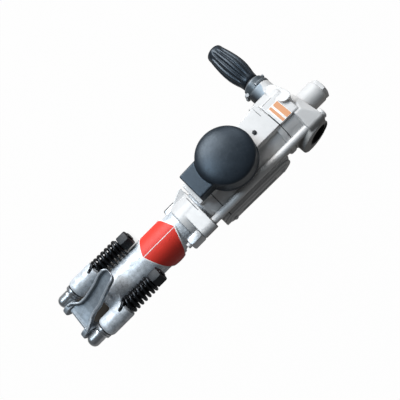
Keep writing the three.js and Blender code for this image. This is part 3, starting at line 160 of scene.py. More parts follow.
def white_seen(name, shown, mirrored, colour, rough):
    """A floor that the camera sees as nearly white, and that metal mirrors as a paler floor than it
    is. Under the drill's nose it carries a painted dark shadow, which shows through the gaps there."""
    finish = Finish(name)
    speckle = finish.noise(40.0)
    tone = finish.blend(speckle * 0.2, colour, (0.25, 0.24, 0.23, 1))
    along, across = finish.measured("X"), finish.measured("Y")
    # Painted shadow: a soft dark patch on the floor under the drill's nose, which the camera sees as it is.
    nose_painted_shadow = (finish.ramp(along, -296.0, -276.0) * finish.ramp(along, -122.0, -150.0)
            * (finish.ramp(across, -30.0, -2.0) * finish.ramp(across, 86.0, 60.0)))
    tone = finish.blend(nose_painted_shadow, tone, (0.03, 0.026, 0.022, 1))
    plain = finish.shade(Base_Color=tone, Roughness=rough, Specular_IOR_Level=0.05)
    camera_ray = finish.node("ShaderNodeLightPath", output="Is Camera Ray")
    glossy_ray = finish.node("ShaderNodeLightPath", output="Is Glossy Ray")
    clear_ray = finish.node("ShaderNodeLightPath", output="Is Transmission Ray")
    seen = ((camera_ray + clear_ray).limited() * shown + glossy_ray * mirrored).limited()
    glow = finish.node("ShaderNodeEmission", None, {"Color": (1, 1, 1, 1), "Strength": 1.0})
    mixed = finish.node("ShaderNodeMixShader", None, {0: seen * (1.0 - nose_painted_shadow), 1: plain, 2: glow})
    return finish.out(mixed)


floor_bm = bmesh.new()
bmesh.ops.create_grid(floor_bm, x_segments=1, y_segments=1, size=6)
floor_mesh = bpy.data.meshes.new("floor")
floor_bm.to_mesh(floor_mesh)
floor_bm.free()
floor = bpy.data.objects.new("floor", floor_mesh)
floor.location.z = -0.0006
floor_mesh.materials.append(white_seen("floor_paint", 0.985, 0.3, (0.17, 0.155, 0.14, 1), 0.6))
bpy.context.collection.objects.link(floor)

# The room lights the drill softly, and the camera sees it as white as the floor.
world = bpy.data.worlds.new("room")
world.use_nodes = True
sky = world.node_tree
room_light = sky.nodes["Background"]
room_light.inputs["Color"].default_value = (0.92, 0.96, 1.0, 1)
room_light.inputs["Strength"].default_value = 0.125
plain_sky = sky.nodes.new("ShaderNodeBackground")
plain_sky.inputs["Color"].default_value = (0.985, 0.985, 0.985, 1)
sky_seen = sky.nodes.new("ShaderNodeMixShader")
sky.links.new(sky.nodes.new("ShaderNodeLightPath").outputs["Is Camera Ray"], sky_seen.inputs["Fac"])
sky.links.new(room_light.outputs["Background"], sky_seen.inputs[1])
sky.links.new(plain_sky.outputs["Background"], sky_seen.inputs[2])
sky.links.new(sky_seen.outputs["Shader"], sky.nodes["World Output"].inputs["Surface"])
bpy.context.scene.world = world


def lamp(name, place, target, size, power, colour=(1, 1, 1)):
    """A soft panel that faces the drill."""
    data = bpy.data.lights.new(name, "AREA")
    data.shape = "RECTANGLE"
    data.size, data.size_y = size
    data.energy = power
    data.color = colour
    made = bpy.data.objects.new(name, data)
    made.location = place
    made.rotation_euler = (Vector(target) - Vector(place)).to_track_quat("-Z", "Y").to_euler()
    bpy.context.collection.objects.link(made)


drill_middle = (0, -0.05, 0.05)
lamp("key_panel", (0.08, 1.25, 1.35), drill_middle, (1.0, 0.8), 36.0)
lamp("sheen_panel", (-0.5, 0.6, 1.55), drill_middle, (0.7, 0.4), 13.0, (0.72, 0.87, 1.0))
lamp("right_panel", (1.0, 0.8, 0.9), (0.1, 0, 0.05), (0.6, 0.8), 5.5, (0.9, 0.95, 1.0))


# Front head: one bare steel forging. Its tube guides the chuck, and two long bosses carry the
# sprung bolts of the retainer. It keeps the dull, slightly mottled skin of the forge.
TURNS = {
    "X": Matrix.Identity(4),
    "Y": Matrix.Rotation(math.radians(90), 4, "Z"),
    "Z": Matrix.Rotation(math.radians(-90), 4, "Y"),
}
# A place along an axis and two across it, as a point (x, y, z).
POINTS = {"X": lambda a, u, v: (a, u, v), "Y": lambda a, u, v: (u, a, v), "Z": lambda a, u, v: (u, v, a)}
SIDES = ((-1, "near"), (1, "far"))


def spun(profile, axis="X", centre=(0, 0, 0), steps=96):
    """A turned solid in millimetres. The profile lists places along the axis with their radius."""
    bm = bmesh.new()
    points = [bm.verts.new((along, 0, radius)) for along, radius in profile]
    edges = [bm.edges.new(pair) for pair in zip(points, points[1:])]
    if profile[0][1] > 0:
        edges.append(bm.edges.new((points[-1], points[0])))
    bmesh.ops.spin(bm, geom=points + edges, cent=(0, 0, 0), axis=(1, 0, 0),
                   angle=math.tau, steps=steps, use_merge=True)
    bmesh.ops.remove_doubles(bm, verts=bm.verts, dist=0.0005)
    bmesh.ops.dissolve_degenerate(bm, edges=bm.edges, dist=0.0005)
    bmesh.ops.recalc_face_normals(bm, faces=bm.faces)
    bmesh.ops.transform(bm, matrix=Matrix.Translation(centre) @ TURNS[axis], verts=bm.verts)
    return bm


def bar(low, high, radius, axis="X", centre=(0, 0, 0), steps=96):
    """A plain round bar, which most often cuts a bore."""
    return spun([(low, 0), (low, radius), (high, radius), (high, 0)], axis, centre, steps)


def rounded_block(low, high, edge=0.0):
    """A block between two corners, with its edges rounded."""
    bm = bmesh.new()
    bmesh.ops.create_cube(bm, size=1)
    size = Vector(high) - Vector(low)
    middle = (Vector(high) + Vector(low)) / 2
    bmesh.ops.transform(bm, matrix=Matrix.Translation(middle) @ Matrix.Diagonal(size.to_4d()), verts=bm.verts)
    if edge:
        bmesh.ops.bevel(bm, geom=bm.edges[:], offset=edge, segments=3, profile=0.5, affect="EDGES",
                        material=-1)
    return bm


def skinned(discs, axis="X", steps=48):
    """The tight skin round a set of discs, each given as (place along, across, up, radius)."""
    bm = bmesh.new()
    facing = Vector((0, 0, 1)).rotation_difference(Vector(POINTS[axis](1, 0, 0))).to_matrix().to_4x4()
    for along, across, height, radius in discs:
        place = Matrix.Translation(POINTS[axis](along, across, height)) @ facing
        bmesh.ops.create_circle(bm, cap_ends=True, segments=steps, radius=radius, matrix=place)
    hull = bmesh.ops.convex_hull(bm, input=bm.verts)
    loose = [e for e in hull["geom_interior"] + hull["geom_unused"] if isinstance(e, bmesh.types.BMVert)]
    bmesh.ops.delete(bm, geom=loose, context="VERTS")
    bmesh.ops.delete(bm, geom=[f for f in bm.faces if not f.calc_area()], context="FACES_ONLY")
    bmesh.ops.recalc_face_normals(bm, faces=bm.faces)
    return bm


def pushed_out(grown):
    """The new points of a face region that was just extruded."""
    return [e for e in grown["geom"] if isinstance(e, bmesh.types.BMVert)]


def prism(outline, low, high, axis="X"):
    """An outline pushed along an axis. Its points are (y, z) for X, (x, z) for Y and (x, y) for Z."""
    bm = bmesh.new()
    face = bm.faces.new([bm.verts.new(POINTS[axis](low, u, v)) for u, v in outline])
    grown = bmesh.ops.extrude_face_region(bm, geom=[face])
    bmesh.ops.translate(bm, vec=POINTS[axis](high - low, 0, 0), verts=pushed_out(grown))
    bmesh.ops.recalc_face_normals(bm, faces=bm.faces)
    return bm


def gathered(*solids):
    """Solids in one mesh, moved from the drill's millimetres to the scene's metres."""
    mesh = bpy.data.meshes.new("gathered")
    whole = bmesh.new()
    for solid in solids:
        solid.to_mesh(mesh)
        solid.free()
        whole.from_mesh(mesh)
    bmesh.ops.transform(whole, matrix=DRILL, verts=whole.verts)
    whole.to_mesh(mesh)
    whole.free()
    return mesh


def placed(name, mesh, finish, body, nodes=(), smooth=40):
    """A finished piece: named, painted, shaded, riding on its body and standing for its nodes."""
    mesh.name = name
    mesh.materials.clear()
    mesh.materials.append(finish)
    mesh.shade_smooth()
    mesh.set_sharp_from_angle(angle=math.radians(smooth))
    piece = bpy.data.objects.new(name, mesh)
    bpy.context.collection.objects.link(piece)
    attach(piece, body)
    if nodes:
        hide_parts(*nodes)
    return piece


def shaped(mesh, modifiers):
    """The mesh that a list of modifiers makes out of another."""
    rough = bpy.data.objects.new("rough", mesh)
    bpy.context.collection.objects.link(rough)
    for kind, settings in modifiers:
        added = rough.modifiers.new(kind.lower(), kind)
        for name, value in settings.items():
            setattr(added, name, value)
    graph = bpy.context.evaluated_depsgraph_get()
    made = bpy.data.meshes.new_from_object(rough.evaluated_get(graph))
    bpy.data.objects.remove(rough)
    return made


def carved(mesh, cutters, solver, after=()):
    """A mesh with solids cut out of it, or cut down to them, and any modifiers after that."""
    tools = []
    for operation, solid in cutters:
        tool = bpy.data.objects.new("cutter", gathered(solid))
        bpy.context.collection.objects.link(tool)
        tools.append((operation, tool))
    cuts = [("BOOLEAN", {"operation": operation, "solver": solver, "object": tool})
            for operation, tool in tools]
    made = shaped(mesh, cuts + list(after))
    for _, tool in tools:
        bpy.data.objects.remove(tool)
    return made


def cast(solids, spacing, passes, cuts=()):
    """Overlapping solids joined and rounded like one casting, then bored with clean cutters."""
    skin = shaped(gathered(*solids), [
        ("REMESH", {"mode": "VOXEL", "voxel_size": spacing / 1000, "use_smooth_shade": True}),
        ("SMOOTH", {"factor": 0.5, "iterations": passes}),
    ])
    return carved(skin, [("DIFFERENCE", cut) for cut in cuts], "MANIFOLD") if cuts else skin


def rounded_edges(width, segments=2, **settings):
    """The small radius that machining leaves on sharp edges, its width in millimetres."""
    return ("BEVEL", {"width": width / 1000, "segments": segments, "limit_method": "ANGLE", **settings})


def toned(colour, factor):
    return tuple(min(1.0, c * factor) for c in colour) + (1,)


def forged(name, colour, rough, mottle, grain, metal=0.85, wear_and_hollows=0.0, greased_from=None):
    """Bare forged or cast steel: patchy tone and shine, with a fine scaled skin. It can be black
    with grease behind a place along the drill."""
    finish = Finish(name)
    patches = finish.noise(130.0, 5.0, 0.65)
    fine = finish.noise(620.0, 3.0, 0.6)
    tone = ((patches * 0.75 + fine * 0.25 - 0.5) * mottle + 0.5).limited()
    shown = finish.blend(tone, toned(colour, 0.52), toned(colour, 1.32))
    if wear_and_hollows:
        edge = finish.sharpness()
        worn, hollow = finish.ramp(edge, 0.505, 0.56), finish.ramp(edge, 0.495, 0.44)
        shown = finish.blend(worn * wear_and_hollows, shown, (0.62, 0.64, 0.66, 1))
        shown = finish.blend(hollow * wear_and_hollows, shown, toned(colour, 0.25))
    if greased_from is not None:
        greased = finish.ramp(finish.measured("X"), greased_from, greased_from + 2.0)
        shown = finish.blend(greased, shown, (0.012, 0.012, 0.013, 1))
    shine = (tone * -0.22 + rough + 0.11).limited()
    pitted = finish.bump(patches * 0.6 + fine * 0.5, 0.5, grain)
    return finish.out(finish.shade(Base_Color=shown, Roughness=shine, Metallic=metal, Normal=pitted))


bare_forging = forged("bare_forging", (0.66, 0.70, 0.74), 0.50, 2.8, 0.0006, 0.35, 0.6)
head_back = -42
head_front = head_back - 176.5
boss_front = head_front - 21.6
boss_back = boss_front + 47.1
boss_across, boss_up, boss_radius = 40.5, 30.2, 16.7
tube_radius, neck_radius, tube_bore, shank_bore = 34.5, 31, 27.5, 20
head_solids = [spun([
    (head_front, 0), (head_front, tube_bore), (head_front + 2, 29.5), (head_front + 13.5, 29.5),
    (head_front + 17.5, 34.3), (head_front + 150, tube_radius), (head_back - 30, 34.4),
    (head_back - 23.7, neck_radius), (head_back, neck_radius), (head_back, tube_bore), (-17.7, tube_bore),
    (-17.7, 29.5), (-0.3, 29.5), (-0.3, tube_bore), (8, tube_bore), (8, 0)])]
for side, _ in SIDES:
    head_solids.append(spun([
        (boss_front, 0), (boss_front, boss_radius - 1.6), (boss_front + 4.5, boss_radius),
        (boss_back - 1.2, boss_radius), (boss_back, boss_radius - 0.6), (boss_back, 0)],
        centre=(0, side * boss_across, boss_up), steps=72))
    head_solids.append(skinned([
        (head_front + 3, side * boss_across, boss_up, 12), (head_front + 27, side * boss_across, boss_up, 11),
        (head_front + 3, side * 12, 14, 14), (head_front + 27, side * 12, 14, 14)]))
head_cuts = [
    spun([(head_front - 6, 0), (head_front - 6, 20.8), (head_front + 0.8, shank_bore),
          (head_front + 6.4, shank_bore), (head_front + 6.4, 23), (14, 23), (14, 0)]),
]
notch = [(boss_back - 8, 0), (boss_back - 3.5, 1), (boss_back + 4, 7)]
for side, _ in SIDES:
    head_cuts.append(bar(boss_front - 6, boss_back + 6, 7.8, centre=(0, side * boss_across, boss_up),
                         steps=48))
    for one, two in zip(notch, notch[1:]):
        head_cuts.append(skinned([(height, along, side * boss_across + across, 2.8)
                                  for along, across in (one, two)
                                  for height in (boss_up, boss_up + 26)], "Z", 24))
placed("front_forging", cast(head_solids, 1.05, 5, head_cuts), bare_forging, "casing", ["front_head"])


# Chuck: the turning sleeve inside the head and the hexagon bush that takes the drill steel.
# Both are machined and hardened, with fine turning marks.
def machined(name, colour, rough, lines=0.0):
    """Turned or ground metal: fine marks along the cut, small changes of shine."""
    finish = Finish(name)
    stretched = finish.node("ShaderNodeMapping", None, {"Vector": finish.place(), "Scale": (1.0, 0.04, 0.04)})
    marks = finish.node("ShaderNodeTexNoise", None, {"Vector": stretched, "Scale": 2600.0, "Detail": 2.0})
    smudge = finish.noise(70.0, 4.0)
    shown = finish.blend(smudge, toned(colour, 0.78), toned(colour, 1.12))
    shine = (smudge * 0.22 + marks * 0.1 + (rough - 0.16)).limited()
    scored = finish.bump(marks, 0.12, 0.00005 + lines)
    return finish.out(finish.shade(Base_Color=shown, Roughness=shine, Metallic=0.95, Normal=scored))


bright_steel = machined("bright_steel", (0.62, 0.63, 0.64), 0.3)
bore_steel = machined("bore_steel", (0.36, 0.36, 0.37), 0.42)
chuck_front = head_front + 6
bush_back, bush_radius, hexagon_corner = -122.5, 18.33, 12.933
placed("chuck_turning", gathered(spun([
    (chuck_front, 18.6), (chuck_front, 22), (chuck_front + 0.7, 22.7), (-19.3, 22.7), (-19.3, 18.4),
    (-58.3, 18.4), (-58.3, 16), (-122.2, 16), (-122.2, 18.6)])), bore_steel, "chuck", ["chuck_sleeve"], 30)
hexagon = [(hexagon_corner * math.cos(k * math.tau / 6), hexagon_corner * math.sin(k * math.tau / 6))
           for k in range(6)]
bush = gathered(spun([(chuck_front, 0), (chuck_front, 17.4), (chuck_front + 0.9, bush_radius),
                      (bush_back, bush_radius), (bush_back, 0)]))
bush = carved(bush, [("DIFFERENCE", prism(hexagon, chuck_front - 6, bush_back + 6.5))], "EXACT",
              [rounded_edges(0.5)])
placed("hexagon_bush", bush, bright_steel, "chuck", ["hex_bush"], 30)


# Front flange: a painted casting clamped to the cylinder by the two side rods. It has a collar
# round the head's neck, an ear for each rod, a foot and one stiffening rib towards the far side.
def painted(name, colour, wear_and_hollows, joints=(), handle_zone=False):
    """Silver paint over a cast skin: slight waves, tiny grain, worn edges and painted shade in the hollows.
    Oil darkens the joints, and painted shade one step of the casting, each given as a place along the
    drill with its reach across it. Round the handle's barrel the paint stops short on the neck, whose
    bare steel has a painted shade from dark in front to light behind; the paint is darker at the socket,
    and the socket's bore is painted nearly black as shade."""
    finish = Finish(name)
    waves = finish.noise(55.0, 3.0, 0.55)
    grit = finish.noise(1500.0, 2.0, 0.7)
    soft = finish.noise(260.0, 3.0, 0.6)
    tone = ((waves - 0.5) * 1.3 + 0.5).limited()
    shown = finish.blend(tone, toned(colour, 0.88), toned(colour, 1.06))
    edge = finish.sharpness()
    hollow, worn = finish.ramp(edge, 0.493, 0.43), finish.ramp(edge, 0.53, 0.6)
    # Painted shade: the hollows are darkened, blotched by noise.
    shown = finish.blend((hollow * wear_and_hollows * (soft + 0.5)).limited(), shown, toned(colour, 0.3))
    shown = finish.blend((worn * wear_and_hollows * 0.6).limited(), shown, (0.86, 0.87, 0.88, 1))
    for joint, low, high in joints:
        near = finish.maths("ABSOLUTE", finish.measured("X") - joint, 0.0)
        across = finish.measured("Y")
        within = finish.ramp(across, low - 1.0, low) * finish.ramp(across, high + 1.0, high)
        oil_and_shade = (finish.ramp(near, 1.1, 0.5) * within * (soft + 0.35)).limited()
        shown = finish.blend(oil_and_shade, shown, (0.03, 0.03, 0.03, 1))
    if handle_zone:
        along, across, height = (finish.measured(axis) for axis in "XYZ")
        ragged = (waves - 0.5) * 14.0
        bare = finish.ramp(along - across * 0.45 + ragged, 181.5, 179.5) * finish.ramp(across, 52.0, 53.0)
        # The bare neck's steel colour carries painted shade, dark towards the front and light towards the back.
        bare_steel_painted_shade = finish.blend(finish.ramp(along, 190.0, 208.0), (0.015, 0.018, 0.022, 1), (0.32, 0.39, 0.45, 1))
        shown = finish.blend(bare, shown, bare_steel_painted_shade)
        # The paint is darker on the near side at the socket.
        darker_at_socket = finish.ramp(across + ragged * 0.2, -43.0, -47.0) * finish.ramp(along, 172.0, 178.0)
        shown = finish.blend(darker_at_socket * 0.7, shown, (0.09, 0.086, 0.076, 1))
        # Painted shade: the inside of the socket's bore is painted nearly black.
        off = along - 216.0
        shade_in_socket_bore = finish.ramp(off * off + height * height, 490.0, 430.0) * finish.ramp(across, -30.0, -36.0)
        shown = finish.blend(shade_in_socket_bore, shown, (0.012, 0.011, 0.01, 1))
    shine = (soft * 0.2 + 0.4).limited()
    skin = finish.bump(waves * 0.6 + soft * 0.5 + grit * 0.25, 0.55, 0.00032)
    return finish.out(finish.shade(Base_Color=shown, Roughness=shine, Metallic=0.08, Normal=skin))


silver_paint = painted("silver_paint", (0.66, 0.65, 0.64), 0.8)
# The dark line at 24 is painted shade along the front band's step; the one at 175.6 is the oiled joint to the
# back head.
cylinder_paint = painted("cylinder_paint", (0.66, 0.65, 0.64), 0.8,
                         joints=((175.6, -60, 14), (24.0, -60, -11)))
head_paint = painted("head_paint", (0.64, 0.63, 0.62), 0.8, joints=((175.7, -60, 14),), handle_zone=True)
# The flange's paint is the same silver, toned darker as painted shade.
flange_paint_shaded = painted("flange_paint_shaded", (0.60, 0.592, 0.585), 0.8,
                       joints=((-8.2, -11.5, 19.5), (-4.2, -60, -11.5)))
rod_across, rod_up = 40, 26
flange_back, flange_front, lug_front = -3.7, -41.7, -29.7
flange_radius, ear_radius = 33, 11.5


def rod_holes(low, high):
    """The two holes that the side rods run through."""
    return [bar(low, high, 6.7, centre=(0, side * rod_across, -side * rod_up), steps=32) for side, _ in SIDES]


flange_solids = [
    spun([(flange_front, 0), (flange_front, 32.2), (flange_front + 0.8, flange_radius),
          (flange_back - 0.8, flange_radius), (flange_back, 32.2), (flange_back, 0)]),
]
for side, _ in SIDES:
    flange_solids.append(skinned([
        (lug_front, 0, 0, 32.6), (flange_back, 0, 0, 32.6),
        (lug_front, side * rod_across, -side * rod_up, ear_radius),
        (flange_back, side * rod_across, -side * rod_up, ear_radius)]))
flange_solids.append(rounded_block((lug_front + 0.5, -14, -48), (flange_back - 0.5, 14, 0)))
rib = prism([(flange_front + 1.5, 0), (flange_back - 0.5, 0), (flange_back - 0.5, 47),
             (flange_back - 4.5, 47), (flange_front + 1.5, 32.7)], -3.5, 3.5, "Y")
bmesh.ops.rotate(rib, cent=(0, 0, 0), matrix=Matrix.Rotation(math.radians(-75), 3, "X"), verts=rib.verts)
flange_solids.append(rib)
flange_cuts = [
    spun([(flange_front - 6, 0), (flange_front - 6, 27.8), (-18, 27.8), (-18, 29.8), (4, 29.8), (4, 0)]),
] + rod_holes(flange_front - 6, 4)
placed("front_collar_casting", cast(flange_solids, 0.9, 3, flange_cuts), flange_paint_shaded, "casing",
       ["front_flange"])


# Cylinder: the long painted casting that the hammer runs in. On it are the flat top pad, the bands
# at both ends, the round exhaust port, the seat of the side duct and two feet.
pad_top = 48
barrel_radius, hammer_bore, valve_bore, valve_start = 40.5, 32.5, 36.3, 133.5
duct_middle, duct_front, duct_back = -9.5, 27, 135.5
port_at, plug_at = (79, 5, 0), (139.5, 8.5, 0)
foot = [(-18, -48), (18, -48), (25, 0), (-25, 0)]
cylinder_solids = [
    spun([(0, 0), (0, 36), (7.5, 36), (8.5, barrel_radius), (174, barrel_radius), (174, 0)], steps=128),
    skinned([(0, 0, 0, 35.4), (1.2, 0, 0, 36.4), (20.5, 0, 0, 36.4), (22.5, 0, 0, 35.4),
             (0, 4.5, 4.5, 39), (1.2, 4.5, 4.5, 40), (20.5, 4.5, 4.5, 40), (22.5, 4.5, 4.5, 38)], steps=96),
    prism([(0.3, -12), (174, -12), (174, 42.5), (161, 41), (130, 37.2), (60, 34), (0.3, 31.5)],
          0, pad_top, "Z"),
    rounded_block((18, -13.5, 0), (174, 0, pad_top - 4)),
    skinned([(place, across, height, radius) for place in (166.5, 175.5)
             for across, height, radius in ((0, 0, 44.5), (30, 13, 26), (31, 38, 8), (38, -28.5, 18))]),
    rounded_block((8, -47, duct_middle - 19), (154.5, 0, duct_middle + 19)),
    prism(foot, 30, 60),
    prism(foot, 124.5, 154.5),
    spun([(0, 0), (0, 27), (57, 27), (57, 29.5), (60.5, 29.5), (62, 28), (62, 0)], "Z", port_at),
]
cylinder_cuts = [
    bar(-6, 18, 27.8),
    bar(12, valve_start + 6, hammer_bore),
    bar(valve_start, 181.5, valve_bore),
    bar(0, 68, 20, "Z", port_at, 64),
    skinned([(depth, along, duct_middle, 9.5) for along in (duct_front, duct_back)
             for depth in (-53, -41)], "Y", 32),
    rounded_block((164.9, 20, 46), (166.3, 60, 54)),
    bar(42, 54, 2, "Z", plug_at, 32),
] + rod_holes(-6, 182)
placed("cylinder_casting", cast(cylinder_solids, 1.2, 3, cylinder_cuts), cylinder_paint, "casing",
       ["cylinder"])


# Side rods: painted bars that clamp front flange, cylinder and back head together. Each has a round
# head behind the back head and a long plated hexagon nut in front of the flange's ear.
zinc = machined("zinc_plate", (0.42, 0.43, 0.44), 0.4, 0.00005)
fit_gap = 0.3
nut_back = lug_front - fit_gap
nut_front = nut_back - 24
for side, name in SIDES:
    rod = spun([
        (nut_front - 6, 0), (nut_front - 6, 3.7), (nut_front - 5.2, 4.5), (nut_front - 0.3, 4.5),
        (nut_front, 6.4), (233.1, 6.4), (233.1, 9), (237.7, 9), (239.3, 7.4), (239.3, 0)],
        centre=(0, side * rod_across, -side * rod_up), steps=64)
    placed(f"clamp_rod_{name}", shaped(gathered(rod), [rounded_edges(0.2)]), silver_paint, "casing",
           [f"side_rod_{name}"], 35)


def hexagon_nut(front, back, flats, hole, chamfer, axis="X", centre=(0, 0, 0), turned=0.0):
    """A hexagon nut: six flats whose corners are turned off at both ends, bored through."""
    corner = flats / 2 / math.cos(math.pi / 6)
    slope, face = chamfer * 0.75, flats / 2 - chamfer * 0.3
    blank = spun([(front, 0), (front, face), (front + slope, corner), (back - slope, corner), (back, face),
                  (back, 0)])
    outline = [(corner * math.cos(k * math.tau / 6 + turned), corner * math.sin(k * math.tau / 6 + turned))
               for k in range(6)]
    cutters = [("INTERSECT", prism(outline, front - 2, back + 2))]
    if hole:
        cutters.append(("DIFFERENCE", bar(front - 3, back + 3, hole, steps=48)))
    nut = carved(gathered(blank), cutters, "EXACT", [rounded_edges(0.3, angle_limit=0.6)])
    nut.transform(DRILL @ Matrix.Translation(centre) @ TURNS[axis] @ DRILL.inverted())
    return nut


for side, name in SIDES:
    nut = hexagon_nut(nut_front, nut_back, 22, 6.7, 3, centre=(0, side * rod_across, -side * rod_up))
    placed(f"long_nut_{name}", nut, zinc, "casing", [f"rod_nut_{name}"], 30)


# Duct cover: a painted plate with a long raised boss on it. It closes the air passage on the near
# side and is held by two round-headed screws.
duct_face, cover_seat = -49.9, -47.3
cover_solids = [
    skinned([(duct_face + 1, duct_front, duct_middle + 1.5, 16.4), (cover_seat, duct_front, duct_middle, 19),
             (duct_face, duct_back, duct_middle, 18.4), (cover_seat, duct_back, duct_middle, 19)], "Y", 64),
    skinned([(duct_face - 1.4, duct_front, duct_middle + 1.5, 11.4),
             (cover_seat - 0.3, duct_front, duct_middle, 12.4),
             (duct_face - 2.4, duct_back, duct_middle, 11.4),
             (cover_seat - 0.3, duct_back, duct_middle, 12.4)], "Y", 64),
]
cover_cut = skinned([(depth, along, duct_middle, radius) for along in (46, 116.5)
                     for depth, radius in ((duct_face - 6, 4.2), (duct_face, 3))], "Y", 32)
placed("duct_plate", cast(cover_solids, 0.75, 2, [cover_cut]), silver_paint, "casing", ["duct_cover"])
for place, name in ((duct_front, "front"), (duct_back, "back")):
    screw = spun([(-55, 0), (-55, 1.2), (-54.7, 2.6), (-54, 3.6), (-53.1, 4), (-52.6, 4), (-52.6, 0)], "Y",
                 (place, 0, duct_middle), 48)
    placed(f"duct_screw_head_{name}", gathered(screw), silver_paint, "casing", [f"duct_screw_{name}"], 50)


# Oil plug: a small blackened hexagon screw in the top pad.
blacked = forged("blacked_steel", (0.008, 0.010, 0.013), 0.55, 1.2, 0.0001, 0.2)
plug = hexagon_nut(pad_top + fit_gap, 49.9, 6.8, 0, 0.5, "Z", plug_at)
placed("oil_screw", plug, blacked, "casing", ["oil_plug"], 30)


# Muffler: a hollow cap of moulded black rubber stretched over the exhaust port. Its domed top is
# plain, its rim is thick, and a square spout blows the exhaust towards the chuck.
def rubber(name, colour, rough, grain):
    """Moulded rubber: blue-black, softly glossy, with dust in a fine stipple."""
    finish = Finish(name)
    cloud = finish.noise(60.0, 4.0, 0.6)
    stipple = finish.noise(1100.0, 2.0, 0.5)
    scuff = finish.noise(230.0, 5.0, 0.7)
    dusty = finish.ramp(scuff, 0.5, 0.78)
    shown = finish.blend(cloud, toned(colour, 0.75), toned(colour, 1.5))
    shown = finish.blend((dusty * 0.16).limited(), shown, (0.07, 0.08, 0.09, 1))
    shine = (cloud * 0.14 + dusty * 0.12 + (rough - 0.07)).limited()
    skin = finish.bump(cloud * 0.4 + stipple * 0.35 + scuff * 0.2, 0.5, grain)
    return finish.out(finish.shade(Base_Color=shown, Roughness=shine, Specular_IOR_Level=0.4,
                                   Specular_Tint=(0.72, 0.86, 1.0, 1), Normal=skin))


def domed(low, radius, rise, angles):
    """Points of a dome's outline over a wall."""
    return [(low + rise * math.sin(a), radius * math.cos(a)) for a in angles]


black_rubber = rubber("black_rubber", (0.010, 0.014, 0.019), 0.37, 0.0003)
cap_low, wall_top, cap_top, cap_radius, cap_inside = 50, 78, 90, 47.5, 42.5
spout_middle = 10
dome = domed(wall_top, cap_radius, cap_top - wall_top, [k * math.pi / 32 for k in range(16)]) + [(cap_top, 0)]
crown = [(cap_low, 0), (cap_low, 47.8), (cap_low + 1.2, 49.2), (cap_low + 3.4, 49.2),
         (cap_low + 5, cap_radius), (wall_top - 7, cap_radius)] + dome
cap_solids = [
    spun(crown, "Z", port_at, 128),
    skinned([(height, along, spout_middle + across, radius) for along, top in ((9.2, 74.4), (70, 79))
             for across in (-22.8, 22.8)
             for height, radius in ((52, 1.4), (53.2, 2.2), (top - 1.2, 2.2), (top, 1.4))], "Z", 16),
]
hollow = ([(56.7, 0), (56.7, cap_inside), (75.5, cap_inside)]
          + domed(75.5, cap_inside, 9.5, [k * math.pi / 16 for k in range(1, 8)]) + [(85, 0)])
cap_cuts = [
    spun(hollow, "Z", port_at, 64),
    rounded_block((0, spout_middle - 19.5, 56), (60, spout_middle + 19.5, 72)),
    bar(40, 60, 27.3, "Z", port_at, 64),
]
placed("exhaust_muffler", cast(cap_solids, 1.0, 4, cap_cuts), black_rubber, "muffler", ["muffler_cap"])


# Back head: the painted casting that closes the cylinder. It holds the crosswise barrel of the
# throttle with its open socket on the near side, the ears of the side rods and the air chamber.
def sliced(bm, place, normal):
    """A solid less what lies past a plane, its cut closed again."""
    bmesh.ops.bisect_plane(bm, geom=bm.verts[:] + bm.edges[:] + bm.faces[:], plane_co=place, plane_no=normal,
                           clear_outer=True)
    bmesh.ops.holes_fill(bm, edges=bm.edges, sides=0)
    return bm


handle_at = 208.5
on_handle = (handle_at, 0, 0)
head_end, gland_seat = 232.8, 223.7
tongue = sliced(skinned([(depth, along, across, radius)
                         for along, across, radius in ((213.3, 18, 10.8), (211.5, 46, 10))
                         for depth in (0, 52)], "Z"), (0, 8, 52), (0, 24, 62))
barrel = sliced(spun([(-58, 0), (-58, 28.6), (-56.5, 30), (-40, 30), (-34, 26), (46, 26), (51, 24.4),
                      (55, 22), (74.5, 22), (74.5, 0)], "Y", on_handle),
                (handle_at - 30, -58, 0), (7, -60, 0))
back_solids = [
    skinned([(place, across, height, radius - trim)
             for place, trim in ((175.8, 0.8), (176.8, 0), (214.8, 0), (215.8, 0.8))
             for across, height, radius in ((0, 0, 43), (30, 13, 26), (31, 39, 6.5), (42, -32, 14))], steps=64),
    rounded_block((175.8, -12, 0), (214.6, 32, 46)),
    spun([(209.5, 0), (209.5, 37), (220.3, 29.5), (231.5, 28.4), (head_end, 27.2), (head_end, 0)]),
    barrel,
    tongue,
    skinned([(203, -rod_across, rod_up, 12), (head_end, -rod_across, rod_up, 12), (203, 0, 0, 27.4),
             (head_end, 0, 0, 27.4), (204.5, -16, 33.5, 11), (217, -16, 33.5, 11)]),
    skinned([(201.5, rod_across, -rod_up, 12), (head_end, rod_across, -rod_up, 12), (201.5, 0, 0, 27.4),
             (head_end, 0, 0, 27.4)]),
    rounded_block((177.5, -20, -48), (215.8, 20, -21)),
]
back_cuts = [
    bar(-50, -30, 20, "Y", on_handle),
    spun([(-64, 0), (-64, 20.4), (-50, 19.4), (-50, 0)], "Y", (handle_at + 8.2, 0, 0)),
    bar(-51, -41, 19.6, "Y", (handle_at + 4, 0, 0)),
    bar(-58, 0, 7.3, "Y", on_handle, 32),
    bar(-24, 80.5, 12.3, "Y", on_handle, 48),
    bar(169.5, 180.8, valve_bore),
    bar(175.5, 185.5, 8.3, steps=32),
    bar(208.5, 238.5, 17),
    spun([(gland_seat, 0), (gland_seat, 23.25), (232.3, 23.25), (232.9, 23.9), (238.5, 23.9), (238.5, 0)]),
    rounded_block((178.5, 30.6, 45.6), (199, 31.7, 54)),
] + rod_holes(169.5, 238.5)
placed("back_head_casting", cast(back_solids, 1.1, 4, back_cuts), head_paint, "casing", ["back_head"])


